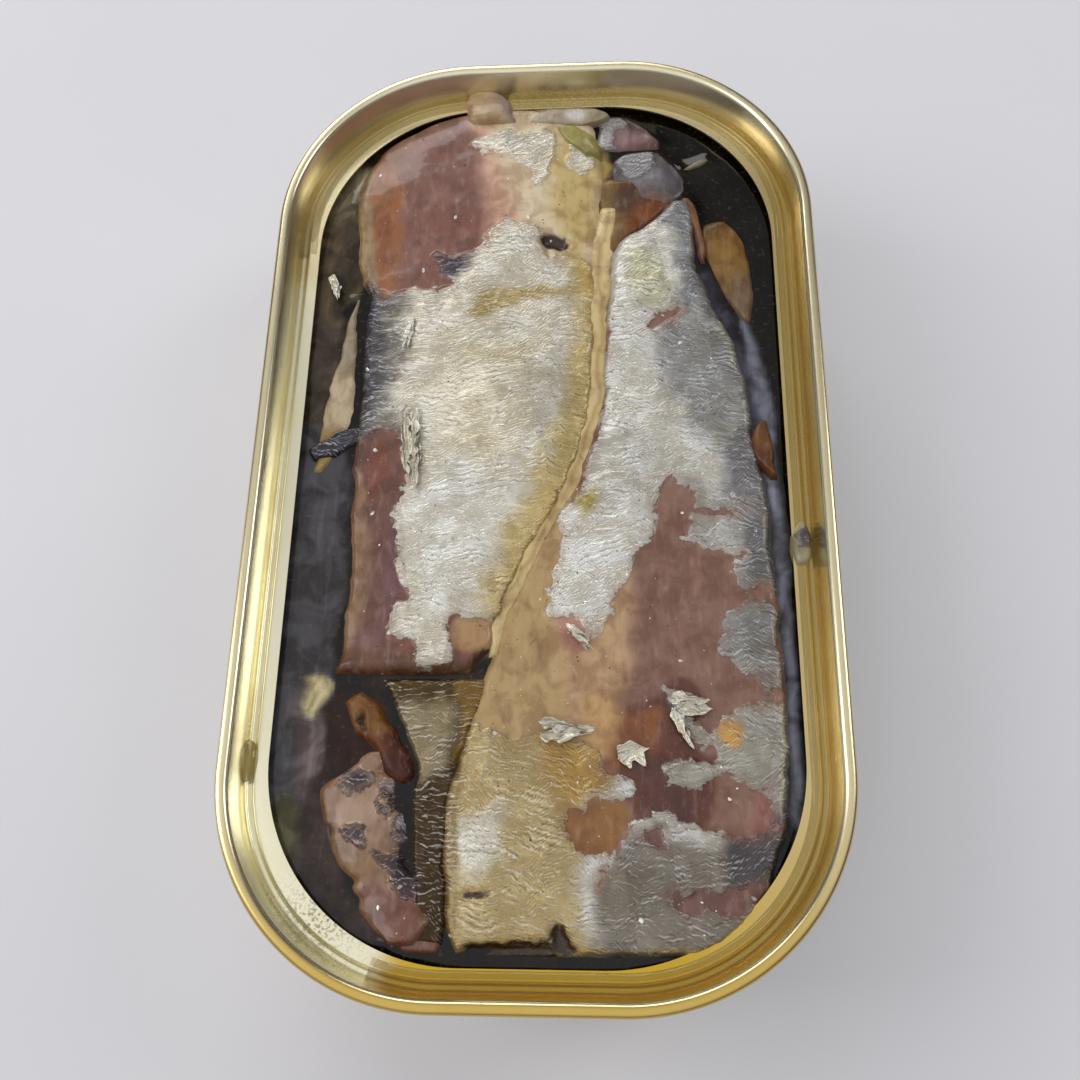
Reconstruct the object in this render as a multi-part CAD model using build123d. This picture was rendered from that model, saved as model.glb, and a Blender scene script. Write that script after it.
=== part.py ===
"""An opened flat tin of sardines in oil, modelled in millimetres.

The origin is the middle of the tin's base, +Z is up and +Y runs along the tin.
A place inside the tin is given as a share of the tin's clear half width (u) and
half length (v), so that the contents follow the tin, and a height is given as a
depth below the top of the double seam.
"""
from build123d import *
from math import radians, tan, tanh
import os

# ---- the tin's overall size --------------------------------------------------
WIDTH = 59.8            # over the double seam, along X
LENGTH = 104.6          # over the double seam, along Y
HEIGHT = 28.0           # base to the top of the seam
CORNER_R = 21.4         # of the seam's outer edge, seen from above
SHEET = 0.22            # tinplate of the body and of the end

# ---- double seam: five layers of sheet, folded into each other ---------------
SEAM_HEIGHT = 2.9
LAYER_GAP = 0.04        # sealing compound between two layers
SEAM_TOP_R = 0.45       # bend at the seam's top, at mid sheet
HOOK_BEND_R = 0.24      # bends of the two hooks, at mid sheet
HOOK_LAP = 0.55         # a hook's free end stays this far from the bend it points at

# ---- the end: chuck wall, countersink and the lip that the tear left ---------
LIP_DEPTH = 3.5         # seam top to the lip's upper face
GROOVE_DEPTH = 4.15     # seam top to the groove's bottom, at mid sheet
CHUCK_FOOT = 0.8        # how far the chuck wall leans in
GROOVE_FLOOR = 0.6      # flat width of the groove's bottom
GROOVE_RISE = 0.3       # width of the slope from the groove to the lip
GROOVE_R = 0.25
LIP_SIDE = 1.25         # flat lip from the groove's slope to the torn edge, along the sides
LIP_END = 1.05          # the same at the two ends
TEAR_R_LESS = 2.3       # the torn opening's corner radius is this much under the seam's
LIP_OVERLAP = 0.3       # how far the flat lip runs into the swept groove section

# ---- the drawn body ----------------------------------------------------------
WALL_DRAFT = 1.0        # degrees
BODY_EDGE_R = 2.2       # bend between wall and base, at mid sheet
STAND_WIDTH = 4.1       # ring of the base that the tin stands on
BASE_STEP = 0.8         # height of the raised ring inside it
BASE_BEAD_WIDTH = 3.9
BASE_PANEL_STEP = 0.35  # drop from the raised ring to the middle panel
STEP_SLOPE = 0.6        # width of each slope in the base
STEP_R = 0.35
PANEL_LAP = 1.4         # swept part of the middle panel

# ---- contents ----------------------------------------------------------------
OIL_CLEAR = 0.34        # underside of the groove to the oil's surface
WALL_CLEAR = 0.05       # oil to metal
OIL_EDGE_R = 1.6        # lower edge of the oil, inside the body's bend
PIECE_GAP = 0.3         # between two pieces of fish
SHOULDER = 0.35         # a piece's flank starts this far under the oil
FISH_FLOOR = 0.4        # between fish and base
MEETING_MID = -0.045    # the line where the two large fish meet: its middle, in u
MEETING_SWING = 0.235   # how far it swings to each side, in u
MEETING_TURN = -0.17    # where along the tin it crosses over, in v
MEETING_SPREAD = 0.28   # over what length, in v
FLANK_R = 5.0           # lower edges of a whole fish
RIM_OIL_RISE = 0.3      # how far the oil in the groove stands above the lip
RIM_OIL_REACH = 0.65    # how far that oil lies on the flat lip
DRY_U = -0.45           # the groove is dry left of this share of the half width
DRY_V = 0.53            # and below this share of the half length

# ---- what follows from the sizes above ---------------------------------------
LAYER = SHEET + LAYER_GAP
SEAM_WIDTH = 5 * SHEET + 4 * LAYER_GAP
HALF_SHEET = SHEET / 2
WALL_S = HALF_SHEET + 3 * LAYER                      # body wall, at mid sheet
DRAFT_RUN = (HEIGHT - SEAM_HEIGHT) * tan(radians(WALL_DRAFT))
GROOVE_S = SEAM_WIDTH - HALF_SHEET + CHUCK_FOOT      # where the groove's floor starts
LIP_S = GROOVE_S + GROOVE_FLOOR + GROOVE_RISE        # where the flat lip starts
TEAR_SIDE = LIP_S + LIP_SIDE                         # seam's outer edge to the torn edge
TEAR_END = LIP_S + LIP_END
TEAR_R = CORNER_R - TEAR_R_LESS
RIM_OIL_DEPTH = LIP_DEPTH - RIM_OIL_RISE
RIM_OIL_EDGE = LIP_S + RIM_OIL_REACH
OIL_DEPTH = GROOVE_DEPTH + HALF_SHEET + OIL_CLEAR    # seam top to the oil's surface
BASE_TOP = BASE_STEP + SHEET                         # highest part of the base
OIL_TOP = HEIGHT - OIL_DEPTH
CLEAR_W = WIDTH / 2 - WALL_S - HALF_SHEET            # half width inside the body wall
CLEAR_L = LENGTH / 2 - WALL_S - HALF_SHEET


def rounded(inset_side, inset_end, radius):
    """A rounded rectangle inside the seam's outer edge, as a sketch at z = 0."""
    return RectangleRounded(WIDTH - 2 * inset_side, LENGTH - 2 * inset_end, radius)


def inset_outline(inset):
    """The seam's outer edge moved inwards."""
    return rounded(inset, inset, CORNER_R - inset)


def rim_path():
    """The seam's outer edge as a closed wire that starts at the middle of the +X side."""
    x, y, r = WIDTH / 2, LENGTH / 2, CORNER_R
    corners = [(x - r, y - r, 0), (r - x, y - r, 90), (r - x, r - y, 180), (x - r, r - y, 270)]
    arcs = [CenterArc((cx, cy), r, start, 90) for cx, cy, start in corners]
    edges = [Line((x, 0), arcs[0] @ 0), arcs[0]]
    for before, after in zip(arcs, arcs[1:]):
        edges += [Line(before @ 1, after @ 0), after]
    edges.append(Line(arcs[3] @ 1, (x, 0)))
    return Wire([edge.edge() for edge in edges])


def rim_plane():
    """Section plane at the path's start: local x runs inwards, local y upwards."""
    return Plane(origin=(WIDTH / 2, 0, 0), x_dir=(-1, 0, 0), z_dir=(0, 1, 0))


def sheet_section(points, bends, margin=0.0):
    """Section of one sheet along a bent centre line, with rounded ends and a margin round it."""
    line = FilletPolyline(*points, radius=bends)
    return Face(Wire(line.edges()).offset_2d(HALF_SHEET + margin, side=Side.BOTH, closed=True))


def swept(section):
    """The section carried once round the tin."""
    return sweep(rim_plane() * section, path=rim_path())


def end_section(lip_end, margin=0.0):
    """Section of the end from the lip (cut at lip_end) over the seam to the tip of its hook."""
    lip_z = HEIGHT - LIP_DEPTH - HALF_SHEET
    groove_z = HEIGHT - GROOVE_DEPTH
    top_z = HEIGHT - HALF_SHEET
    foot_z = HEIGHT - SEAM_HEIGHT + HALF_SHEET
    chuck_s = SEAM_WIDTH - HALF_SHEET
    hook_s = HALF_SHEET + 2 * LAYER
    points = [
        (lip_end, lip_z),
        (LIP_S, lip_z),
        (LIP_S - GROOVE_RISE, groove_z),
        (GROOVE_S, groove_z),
        (chuck_s, top_z),
        (HALF_SHEET, top_z),
        (HALF_SHEET, foot_z),
        (hook_s, foot_z),
        (hook_s, top_z - LAYER - HOOK_LAP),
    ]
    bends = [GROOVE_R, GROOVE_R, GROOVE_R, SEAM_TOP_R, SEAM_TOP_R, HOOK_BEND_R, HOOK_BEND_R]
    return sheet_section(points, bends, margin)


def end_ring():
    """Seamed end with its panel torn out: the swept section and the flat lip."""
    lip = inset_outline(LIP_S) - rounded(TEAR_SIDE, TEAR_END, TEAR_R)
    lip = Pos(0, 0, HEIGHT - LIP_DEPTH - SHEET) * extrude(lip, SHEET)
    return swept(end_section(LIP_S + LIP_OVERLAP)) + lip


def body_section():
    """Section of the drawn body from its seam hook down to the edge of the middle panel."""
    wall_foot = WALL_S + DRAFT_RUN
    hook_s = HALF_SHEET + LAYER
    top_z = HEIGHT - HALF_SHEET - LAYER
    stand_s = wall_foot + BODY_EDGE_R + STAND_WIDTH
    bead_s = stand_s + STEP_SLOPE + BASE_BEAD_WIDTH
    bead_z = HALF_SHEET + BASE_STEP
    panel_z = bead_z - BASE_PANEL_STEP
    points = [
        (hook_s, HEIGHT - SEAM_HEIGHT + HALF_SHEET + HOOK_LAP),
        (hook_s, top_z),
        (WALL_S, top_z),
        (WALL_S, HEIGHT - SEAM_HEIGHT),
        (wall_foot, HALF_SHEET),
        (stand_s, HALF_SHEET),
        (stand_s + STEP_SLOPE, bead_z),
        (bead_s, bead_z),
        (bead_s + STEP_SLOPE, panel_z),
        (bead_s + STEP_SLOPE + PANEL_LAP, panel_z),
    ]
    bends = [HOOK_BEND_R, HOOK_BEND_R, BODY_EDGE_R, BODY_EDGE_R] + 4 * [STEP_R]
    return sheet_section(points, bends), points[-1]


def can_body():
    """Drawn tin body: the swept section closed by the flat middle panel of its base."""
    section, (panel_s, panel_z) = body_section()
    panel = extrude(inset_outline(panel_s - PANEL_LAP / 2), SHEET)
    return swept(section) + Pos(0, 0, panel_z - HALF_SHEET) * panel


def oil_block():
    """All that the body holds up to the oil's surface, before the fish is cut out."""
    top = inset_outline(WALL_S + HALF_SHEET + WALL_CLEAR)
    depth = OIL_TOP - BASE_TOP - WALL_CLEAR
    run = depth * tan(radians(WALL_DRAFT)) + WALL_CLEAR
    low = inset_outline(WALL_S + HALF_SHEET + WALL_CLEAR + run)
    block = loft([Pos(0, 0, OIL_TOP) * top, Pos(0, 0, OIL_TOP - depth) * low], ruled=True)
    return fillet(block.edges().group_by(Axis.Z)[0], OIL_EDGE_R)


def cross_section(v, left, right, depth, low, bend):
    """Section across the tin: a domed top, upright flanks and a rounded underside.

    left and right are shares of the clear half width, v one of the half length.
    """
    x0, x1, y = left * CLEAR_W + PIECE_GAP / 2, right * CLEAR_W - PIECE_GAP / 2, v * CLEAR_L
    edge_z, top_z = OIL_TOP - SHOULDER, HEIGHT - depth
    r = min(bend, 0.45 * (x1 - x0), 0.45 * (edge_z - low))
    mid = (x0 + x1) / 2
    top = ThreePointArc((x0, y, edge_z), (mid, y, top_z), (x1, y, edge_z))
    edges = [
        top,
        Line(top @ 1, (x1, y, low + r)),
        ThreePointArc((x1, y, low + r), (x1 - 0.293 * r, y, low + 0.293 * r), (x1 - r, y, low)),
        Line((x1 - r, y, low), (x0 + r, y, low)),
        ThreePointArc((x0 + r, y, low), (x0 + 0.293 * r, y, low + 0.293 * r), (x0, y, low + r)),
        Line((x0, y, low + r), top @ 0),
    ]
    return Face(Wire([edge.edge() for edge in edges]))


def laid_along(stations, low, bend):
    """A piece that lies along the tin, lofted through sections across it."""
    return loft([cross_section(*station, low, bend) for station in stations])


def seam_share(v):
    """Where the left fish meets the right one, as a share of the clear half width."""
    return MEETING_MID + MEETING_SWING * tanh((v - MEETING_TURN) / MEETING_SPREAD)


def sardine_left():
    """Headless fish on its flank, cut straight at its lower end."""
    edges = [
        (0.93, -0.36, 4.1), (0.86, -0.64, 3.4), (0.70, -0.71, 3.1), (0.56, -0.72, 3.0), (0.43, -0.72, 3.0),
        (0.27, -0.71, 3.0), (0.10, -0.71, 3.0), (-0.06, -0.71, 3.1), (-0.22, -0.70, 3.3), (-0.405, -0.69, 3.6),
    ]
    stations = [(v, left, seam_share(v), depth) for v, left, depth in edges]
    return laid_along(stations, BASE_TOP + FISH_FLOOR, FLANK_R)


def sardine_right():
    """Headless fish with its back to the wall, narrowing towards the tin's far end."""
    tip = [(0.66, 0.46, 0.58, 4.2), (0.56, 0.27, 0.61, 3.6)]
    edges = [
        (0.43, 0.65, 3.2), (0.27, 0.75, 3.0), (0.10, 0.79, 3.0), (-0.06, 0.83, 3.1), (-0.22, 0.84, 3.1),
        (-0.405, 0.85, 3.1), (-0.55, 0.85, 3.1), (-0.70, 0.83, 3.2), (-0.84, 0.72, 3.4), (-0.92, 0.46, 3.9),
    ]
    stations = tip + [(v, seam_share(v), right, depth) for v, right, depth in edges]
    return laid_along(stations, BASE_TOP + FISH_FLOOR, FLANK_R)


def sardine_lower():
    """Narrow strip of a third fish between the right fish and the wall."""
    edges = [(-0.44, -0.48, 4.3), (-0.55, -0.42, 4.2), (-0.70, -0.38, 4.2), (-0.84, -0.38, 4.2), (-0.90, -0.37, 4.3)]
    stations = [(v, left, seam_share(v), depth) for v, left, depth in edges]
    return laid_along(stations, BASE_TOP + FISH_FLOOR, FLANK_R)


def along_line(points, depth, thickness):
    """A tapered piece: ellipses across a bent line, each given as (u, v, width)."""
    places = [Vector(u * CLEAR_W, v * CLEAR_L, 0) for u, v, _ in points]
    sections = []
    for i, (_, _, width) in enumerate(points):
        along = (places[min(i + 1, len(points) - 1)] - places[max(i - 1, 0)]).normalized()
        tall = min(thickness, 1.6 * width)
        centre = places[i] + Vector(0, 0, HEIGHT - depth - thickness / 2)
        plane = Plane(origin=centre, x_dir=(along.Y, -along.X, 0), z_dir=along)
        sections.append(plane * Ellipse(width / 2, tall / 2))
    return loft(sections)


def flesh_scrap():
    """Torn belly flesh beside the third fish."""
    stations = [
        (-0.59, -0.66, -0.53, 4.2), (-0.65, -0.67, -0.43, 3.7), (-0.73, -0.66, -0.39, 3.6),
        (-0.81, -0.61, -0.385, 3.7), (-0.88, -0.53, -0.385, 4.1),
    ]
    return laid_along(stations, OIL_TOP - 6.0, 2.0)


def side_strip():
    """Pale strip of flesh between the left fish and the wall."""
    stations = [
        (0.40, -0.82, -0.77, 4.5), (0.30, -0.85, -0.735, 4.2), (0.19, -0.86, -0.725, 4.0),
        (0.10, -0.86, -0.73, 4.1), (0.04, -0.84, -0.76, 4.5),
    ]
    return laid_along(stations, OIL_TOP - 5.0, 1.5)


def grey_tail_piece():
    """Bluish grey piece above the right fish."""
    stations = [
        (0.695, 0.30, 0.50, 4.2), (0.735, 0.25, 0.56, 3.8), (0.78, 0.26, 0.57, 3.8), (0.82, 0.31, 0.51, 4.2),
    ]
    return laid_along(stations, OIL_TOP - 5.0, 1.5)


def silver_tail_piece():
    """Small silver piece at the far end."""
    stations = [(0.835, 0.22, 0.40, 4.2), (0.875, 0.21, 0.43, 3.9), (0.925, 0.23, 0.40, 4.2)]
    return laid_along(stations, OIL_TOP - 4.0, 1.2)


def brown_flesh():
    """Soft flesh in the fork between the two large fish."""
    stations = [(0.58, 0.205, 0.25, 4.2), (0.63, 0.205, 0.34, 4.0), (0.675, 0.205, 0.39, 4.2)]
    return laid_along(stations, OIL_TOP - 5.0, 1.5)


def clove():
    """Pale clove that tapers to a point, afloat by the wall."""
    line = [
        (0.66, 0.63, 1.2), (0.69, 0.595, 3.6), (0.71, 0.545, 5.0), (0.74, 0.485, 4.3),
        (0.77, 0.43, 2.6), (0.795, 0.375, 0.9),
    ]
    return along_line(line, 3.7, 3.4)


def spice_strip():
    """Thin brown strip that lies across the third fish."""
    line = [(-0.63, -0.465, 1.4), (-0.57, -0.50, 2.4), (-0.50, -0.545, 2.5), (-0.43, -0.585, 1.5)]
    return along_line(line, 3.7, 1.7)


def on_lip(u0, u1, v0, v1, rise):
    """A soft flake that lies on the lip: a low dome over a rounded outline."""
    size_x, size_y = (u1 - u0) * CLEAR_W, (v1 - v0) * CLEAR_L
    outline = RectangleRounded(size_x, size_y, 0.4 * min(size_x, size_y))
    foot = HEIGHT - LIP_DEPTH + WALL_CLEAR
    crown = scale(outline, 0.55)
    centre = ((u0 + u1) / 2 * CLEAR_W, (v0 + v1) / 2 * CLEAR_L)
    return loft([Pos(*centre, foot) * outline, Pos(*centre, foot + rise) * crown])


def flake_on_rim():
    """Flake of flesh at the far end, half on the lip and half over the groove."""
    return on_lip(-0.335, -0.125, 0.905, 0.975, 1.3)


def skin_on_lip():
    """Scrap of skin on the lip of the +X side."""
    return on_lip(0.885, 0.965, -0.185, -0.10, 0.5)


def rim_oil():
    """Oil that stands in the groove, except along the lower left of the tin."""
    floor, lip = GROOVE_DEPTH - SHEET / 2 - WALL_CLEAR, LIP_DEPTH - WALL_CLEAR
    lean = (GROOVE_S - SEAM_WIDTH + SHEET / 2) / GROOVE_DEPTH

    def chuck_wall(depth):
        return GROOVE_S - lean * (GROOVE_DEPTH - depth) + SHEET / 2 + 1.4 * WALL_CLEAR

    foot = floor - GROOVE_R / 2
    corners = [
        (chuck_wall(RIM_OIL_DEPTH), RIM_OIL_DEPTH), (chuck_wall(foot), foot), (GROOVE_S + GROOVE_R, floor),
        (GROOVE_S + GROOVE_FLOOR - GROOVE_R, floor), (LIP_S - 0.09, lip), (RIM_OIL_EDGE, lip),
        (RIM_OIL_EDGE, RIM_OIL_DEPTH),
    ]
    pool = make_face(Polyline(*[(inset, HEIGHT - depth) for inset, depth in corners], close=True))
    dry_x, dry_y = DRY_U * CLEAR_W, DRY_V * CLEAR_L
    dry = Pos(dry_x, dry_y, 0) * Box(WIDTH, 2 * LENGTH, 4 * HEIGHT, align=(Align.MAX, Align.MAX, Align.CENTER))
    return swept(pool) - dry


CONTENTS = {
    "sardine_left": sardine_left,
    "sardine_right": sardine_right,
    "sardine_lower": sardine_lower,
    "flesh_scrap": flesh_scrap,
    "side_strip": side_strip,
    "grey_tail_piece": grey_tail_piece,
    "silver_tail_piece": silver_tail_piece,
    "brown_flesh": brown_flesh,
    "clove": clove,
    "spice_strip": spice_strip,
}
ON_RIM = {
    "flake_on_rim": flake_on_rim,
    "skin_on_lip": skin_on_lip,
}


def main():
    """Build every piece and write one STEP file for each."""
    contents = {name: make() for name, make in CONTENTS.items()}
    scraps = {name: make() for name, make in ON_RIM.items()}
    contents["sardine_lower"] -= contents["spice_strip"]
    pieces = {"can_body": can_body(), "end_ring": end_ring(), **contents, **scraps}
    pieces["oil"] = oil_block() - list(contents.values())
    pieces["rim_oil"] = rim_oil() - list(scraps.values())
    os.makedirs("parts", exist_ok=True)
    for name, piece in pieces.items():
        export_step(piece, f"parts/{name}.step")


if __name__ == "__main__":
    main()
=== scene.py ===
"""Looks of an opened sardine tin: gold tinplate, wet fish with torn silver skin, and dark oil.

Plan places are millimetres from the middle of the tin, +x to the right and +y along the
tin.  Heights are millimetres from the top of the double seam, so they are negative inside.
"""
import logging
import math
from dataclasses import dataclass, field
from enum import Enum
from typing import Callable, Sequence

import bmesh
import bpy
import numpy as np
from mathutils import Matrix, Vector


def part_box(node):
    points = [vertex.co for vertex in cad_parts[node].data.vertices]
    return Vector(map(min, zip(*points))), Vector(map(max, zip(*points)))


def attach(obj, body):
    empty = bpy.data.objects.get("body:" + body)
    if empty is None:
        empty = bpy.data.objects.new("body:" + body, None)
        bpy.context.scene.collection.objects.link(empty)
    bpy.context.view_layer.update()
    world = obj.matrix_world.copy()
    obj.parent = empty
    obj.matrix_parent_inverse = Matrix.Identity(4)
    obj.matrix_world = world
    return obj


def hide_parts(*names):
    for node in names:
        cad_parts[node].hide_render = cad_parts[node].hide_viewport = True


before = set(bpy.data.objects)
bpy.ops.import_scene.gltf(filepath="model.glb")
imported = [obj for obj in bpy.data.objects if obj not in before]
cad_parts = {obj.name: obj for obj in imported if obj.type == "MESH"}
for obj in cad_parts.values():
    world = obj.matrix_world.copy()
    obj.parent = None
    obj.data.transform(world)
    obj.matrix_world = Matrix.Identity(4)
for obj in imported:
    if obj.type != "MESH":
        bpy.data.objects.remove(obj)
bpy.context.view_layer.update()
LOG = logging.getLogger("sardine_tin")
MM = 0.001
BODY = "root"

Colour = tuple[float, float, float]
Point = tuple[float, float]
Array = np.ndarray


def srgb(red: float, green: float, blue: float) -> Colour:
    """Turn an 8-bit display colour into a linear one."""
    def channel(value: float) -> float:
        """One channel, from 0 to 255, as a linear share."""
        share = value / 255
        return share / 12.92 if share <= 0.04045 else ((share + 0.055) / 1.055) ** 2.4
    return channel(red), channel(green), channel(blue)


# ---- the tin's frame

@dataclass(frozen=True)
class TinFrame:
    """Sizes of the tin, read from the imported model, in millimetres."""

    half_width: float
    half_length: float
    height: float
    corner_radius: float = 21.4
    wall_inset: float = 1.05
    oil_level: float = -4.6

    @classmethod
    def read(cls) -> "TinFrame":
        """Read the seam's outer size from the end ring and the height from the whole tin."""
        _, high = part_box("end_ring")
        return cls(high[0] / MM, high[1] / MM, high[2] / MM)

    def row_half_width(self, along: Array, inset: float) -> Array:
        """Half width of the rounded outline at a place along the tin.

        Args:
            along: places along the tin.
            inset: how far the outline lies inside the seam's outer edge.

        Returns:
            The half width at each place.
        """
        radius = self.corner_radius - inset
        straight = self.half_length - self.corner_radius
        beyond = np.clip(np.abs(along) - straight, 0, radius)
        return self.half_width - self.corner_radius + np.sqrt(radius ** 2 - beyond ** 2)

    def wall_distance(self, x: Array, y: Array, inset: float) -> Array:
        """Distance inwards from the rounded outline that lies inset inside the seam's edge."""
        radius = self.corner_radius - inset
        over_x = np.abs(x) - (self.half_width - self.corner_radius)
        over_y = np.abs(y) - (self.half_length - self.corner_radius)
        corner = np.hypot(np.maximum(over_x, 0), np.maximum(over_y, 0))
        return radius - corner - np.minimum(np.maximum(over_x, over_y), 0)


TIN = TinFrame.read()


# ---- plan tools

class Grain:
    """Smooth noise over the plan, the same on every run."""

    def __init__(self, seed: int) -> None:
        """Fill the table of lattice values."""
        self.table = np.random.default_rng(seed).uniform(-1, 1, (128, 128))

    def at(self, x: Array, y: Array, size_x: float, size_y: float | None = None) -> Array:
        """Noise from -1 to 1.

        Args:
            x: places across the tin.
            y: places along the tin.
            size_x: length of one lattice cell across.
            size_y: length of one lattice cell along; the same as across if left out.

        Returns:
            The noise at each place.
        """
        column, row = x / size_x + 37.3, y / (size_y or size_x) + 11.7
        i, j = np.floor(column).astype(int), np.floor(row).astype(int)
        a, b = column - i, row - j
        a, b = a * a * a * (a * (6 * a - 15) + 10), b * b * b * (b * (6 * b - 15) + 10)
        i0, i1, j0, j1 = i % 128, (i + 1) % 128, j % 128, (j + 1) % 128
        low = self.table[j0, i0] * (1 - a) + self.table[j0, i1] * a
        high = self.table[j1, i0] * (1 - a) + self.table[j1, i1] * a
        return low * (1 - b) + high * b

    def ridged(self, x: Array, y: Array, size_x: float, size_y: float) -> Array:
        """Sharp crests from 0 to 1, where the noise passes through zero."""
        return 1 - np.minimum(np.abs(self.at(x, y, size_x, size_y)) * 2.2, 1)


COARSE, MIDDLE, FINE = Grain(3), Grain(7), Grain(19)


def smooth(value: Array, low: float, high: float) -> Array:
    """Rise from 0 at low to 1 at high, with soft ends."""
    share = np.clip((value - low) / (high - low), 0, 1)
    return share * share * (3 - 2 * share)


def curved(points: Sequence[Point], steps: int = 5) -> Array:
    """A closed curve through given points.

    Args:
        points: corners of the outline.
        steps: pieces of curve between two points.

    Returns:
        The curve's points.
    """
    p = np.array(points, float)
    before, after, next_but_one = np.roll(p, 1, 0), np.roll(p, -1, 0), np.roll(p, -2, 0)
    rows = []
    for t in np.arange(steps) / steps:
        rows.append(0.5 * (2 * p + (after - before) * t + (2 * before - 5 * p + 4 * after - next_but_one) * t ** 2
                           + (3 * p - before - 3 * after + next_but_one) * t ** 3))
    return np.stack(rows, 1).reshape(-1, 2)


def inside_by(x: Array, y: Array, outline: Array, reach: float = 4.0) -> Array:
    """Signed distance to a closed outline, positive inside and cut off at -reach."""
    result = np.full(x.shape, -reach)
    low, high = outline.min(0) - reach, outline.max(0) + reach
    near = (x > low[0]) & (x < high[0]) & (y > low[1]) & (y < high[1])
    px, py = x[near], y[near]
    distance = np.full(px.shape, 1e9)
    inside = np.zeros(px.shape, bool)
    for (x0, y0), (x1, y1) in zip(outline, np.roll(outline, -1, 0)):
        dx, dy = x1 - x0, y1 - y0
        t = np.clip(((px - x0) * dx + (py - y0) * dy) / (dx * dx + dy * dy + 1e-12), 0, 1)
        distance = np.minimum(distance, np.hypot(px - x0 - t * dx, py - y0 - t * dy))
        if y0 != y1:
            inside ^= ((y0 > py) != (y1 > py)) & (px < dx * (py - y0) / dy + x0)
    result[near] = np.maximum(np.where(inside, distance, -distance), -reach)
    return result


@dataclass(frozen=True)
class Patch:
    """One coloured region of a surface, bounded by a curve through a few points."""

    outline: tuple[Point, ...]
    tint: Colour
    soft: float = 0.8
    ragged: float = 0.5
    strength: float = 1.0

    def depth_in(self, x: Array, y: Array) -> Array:
        """Signed distance into the region, with an uneven edge."""
        wander_x = self.ragged * (COARSE.at(x, y, 2.3) + 0.45 * MIDDLE.at(x, y, 0.8))
        wander_y = self.ragged * (MIDDLE.at(x + 50, y, 2.1) + 0.45 * FINE.at(x, y + 50, 0.7))
        return inside_by(x + wander_x, y + wander_y, curved(self.outline))

    def cover(self, x: Array, y: Array) -> Array:
        """How much of the region's tint shows at each place, from 0 to 1."""
        return self.strength * smooth(self.depth_in(x, y), -self.soft, self.soft)


def oval(x: float, y: float, half_x: float, half_y: float, turn: float = 0.0) -> tuple[Point, ...]:
    """Six points of an oval outline, turned by an angle in degrees."""
    angle = math.radians(turn)
    points = []
    for k in range(6):
        a, b = half_x * math.cos(k * math.pi / 3), half_y * math.sin(k * math.pi / 3)
        points.append((x + a * math.cos(angle) - b * math.sin(angle), y + a * math.sin(angle) + b * math.cos(angle)))
    return tuple(points)


def painted(x: Array, y: Array, ground: Colour, patches: Sequence[Patch]) -> Array:
    """Lay patches over a ground colour, the later ones on top."""
    colour = np.broadcast_to(np.array(ground), x.shape + (3,)).copy()
    for patch in patches:
        share = patch.cover(x, y)[..., None]
        colour = colour * (1 - share) + np.array(patch.tint) * share
    return colour


# ---- mesh tools

def mesh_piece(name: str, points: Array, faces: Sequence[Sequence[int]],
               sharp_angle: float | None = None) -> bpy.types.Object:
    """Make a smooth-shaded object from points in millimetres and faces."""
    mesh = bpy.data.meshes.new(name)
    mesh.from_pydata((np.asarray(points) * MM).tolist(), [], faces)
    work = bmesh.new()
    work.from_mesh(mesh)
    bmesh.ops.recalc_face_normals(work, faces=work.faces)
    work.to_mesh(mesh)
    work.free()
    mesh.shade_smooth()
    if sharp_angle is not None:
        mesh.set_sharp_from_angle(angle=math.radians(sharp_angle))
    piece = bpy.data.objects.new(name, mesh)
    bpy.context.scene.collection.objects.link(piece)
    return piece


def lift(z: Array) -> Array:
    """Height above the floor of a height given from the seam's top."""
    return TIN.height + z


def add_numbers(piece: bpy.types.Object, name: str, values: Array) -> None:
    """Store one number on each point of a piece."""
    layer = piece.data.attributes.new(name, "FLOAT", "POINT")
    layer.data.foreach_set("value", np.asarray(values, np.float32).ravel())


def add_tints(piece: bpy.types.Object, name: str, values: Array) -> None:
    """Store one colour on each point of a piece."""
    layer = piece.data.attributes.new(name, "FLOAT_COLOR", "POINT")
    rgba = np.concatenate([values.reshape(-1, 3), np.ones((values.size // 3, 1))], 1)
    layer.data.foreach_set("color", rgba.astype(np.float32).ravel())


def closed_sheet(top: Array, low: float) -> tuple[Array, list[list[int]]]:
    """Close a grid of top points with a skirt and a flat underside.

    Args:
        top: grid of points, rows along y and columns along x, seen from above.
        low: height of the underside.

    Returns:
        All points, and faces that look outwards.
    """
    rows, columns = top.shape[:2]
    index = np.arange(rows * columns).reshape(rows, columns)
    quads = np.stack([index[:-1, :-1], index[:-1, 1:], index[1:, 1:], index[1:, :-1]], -1).reshape(-1, 4).tolist()
    loop = np.concatenate([index[0, :], index[1:, -1], index[-1, -2::-1], index[-2:0:-1, 0]])
    under = top.reshape(-1, 3)[loop].copy()
    under[:, 2] = low
    first = rows * columns
    count = len(loop)
    for k in range(count):
        nxt = (k + 1) % count
        quads.append([int(loop[nxt]), int(loop[k]), first + k, first + nxt])
    quads.append([first + k for k in reversed(range(count))])
    return np.concatenate([top.reshape(-1, 3), under]), quads


# ---- shader tools

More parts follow.
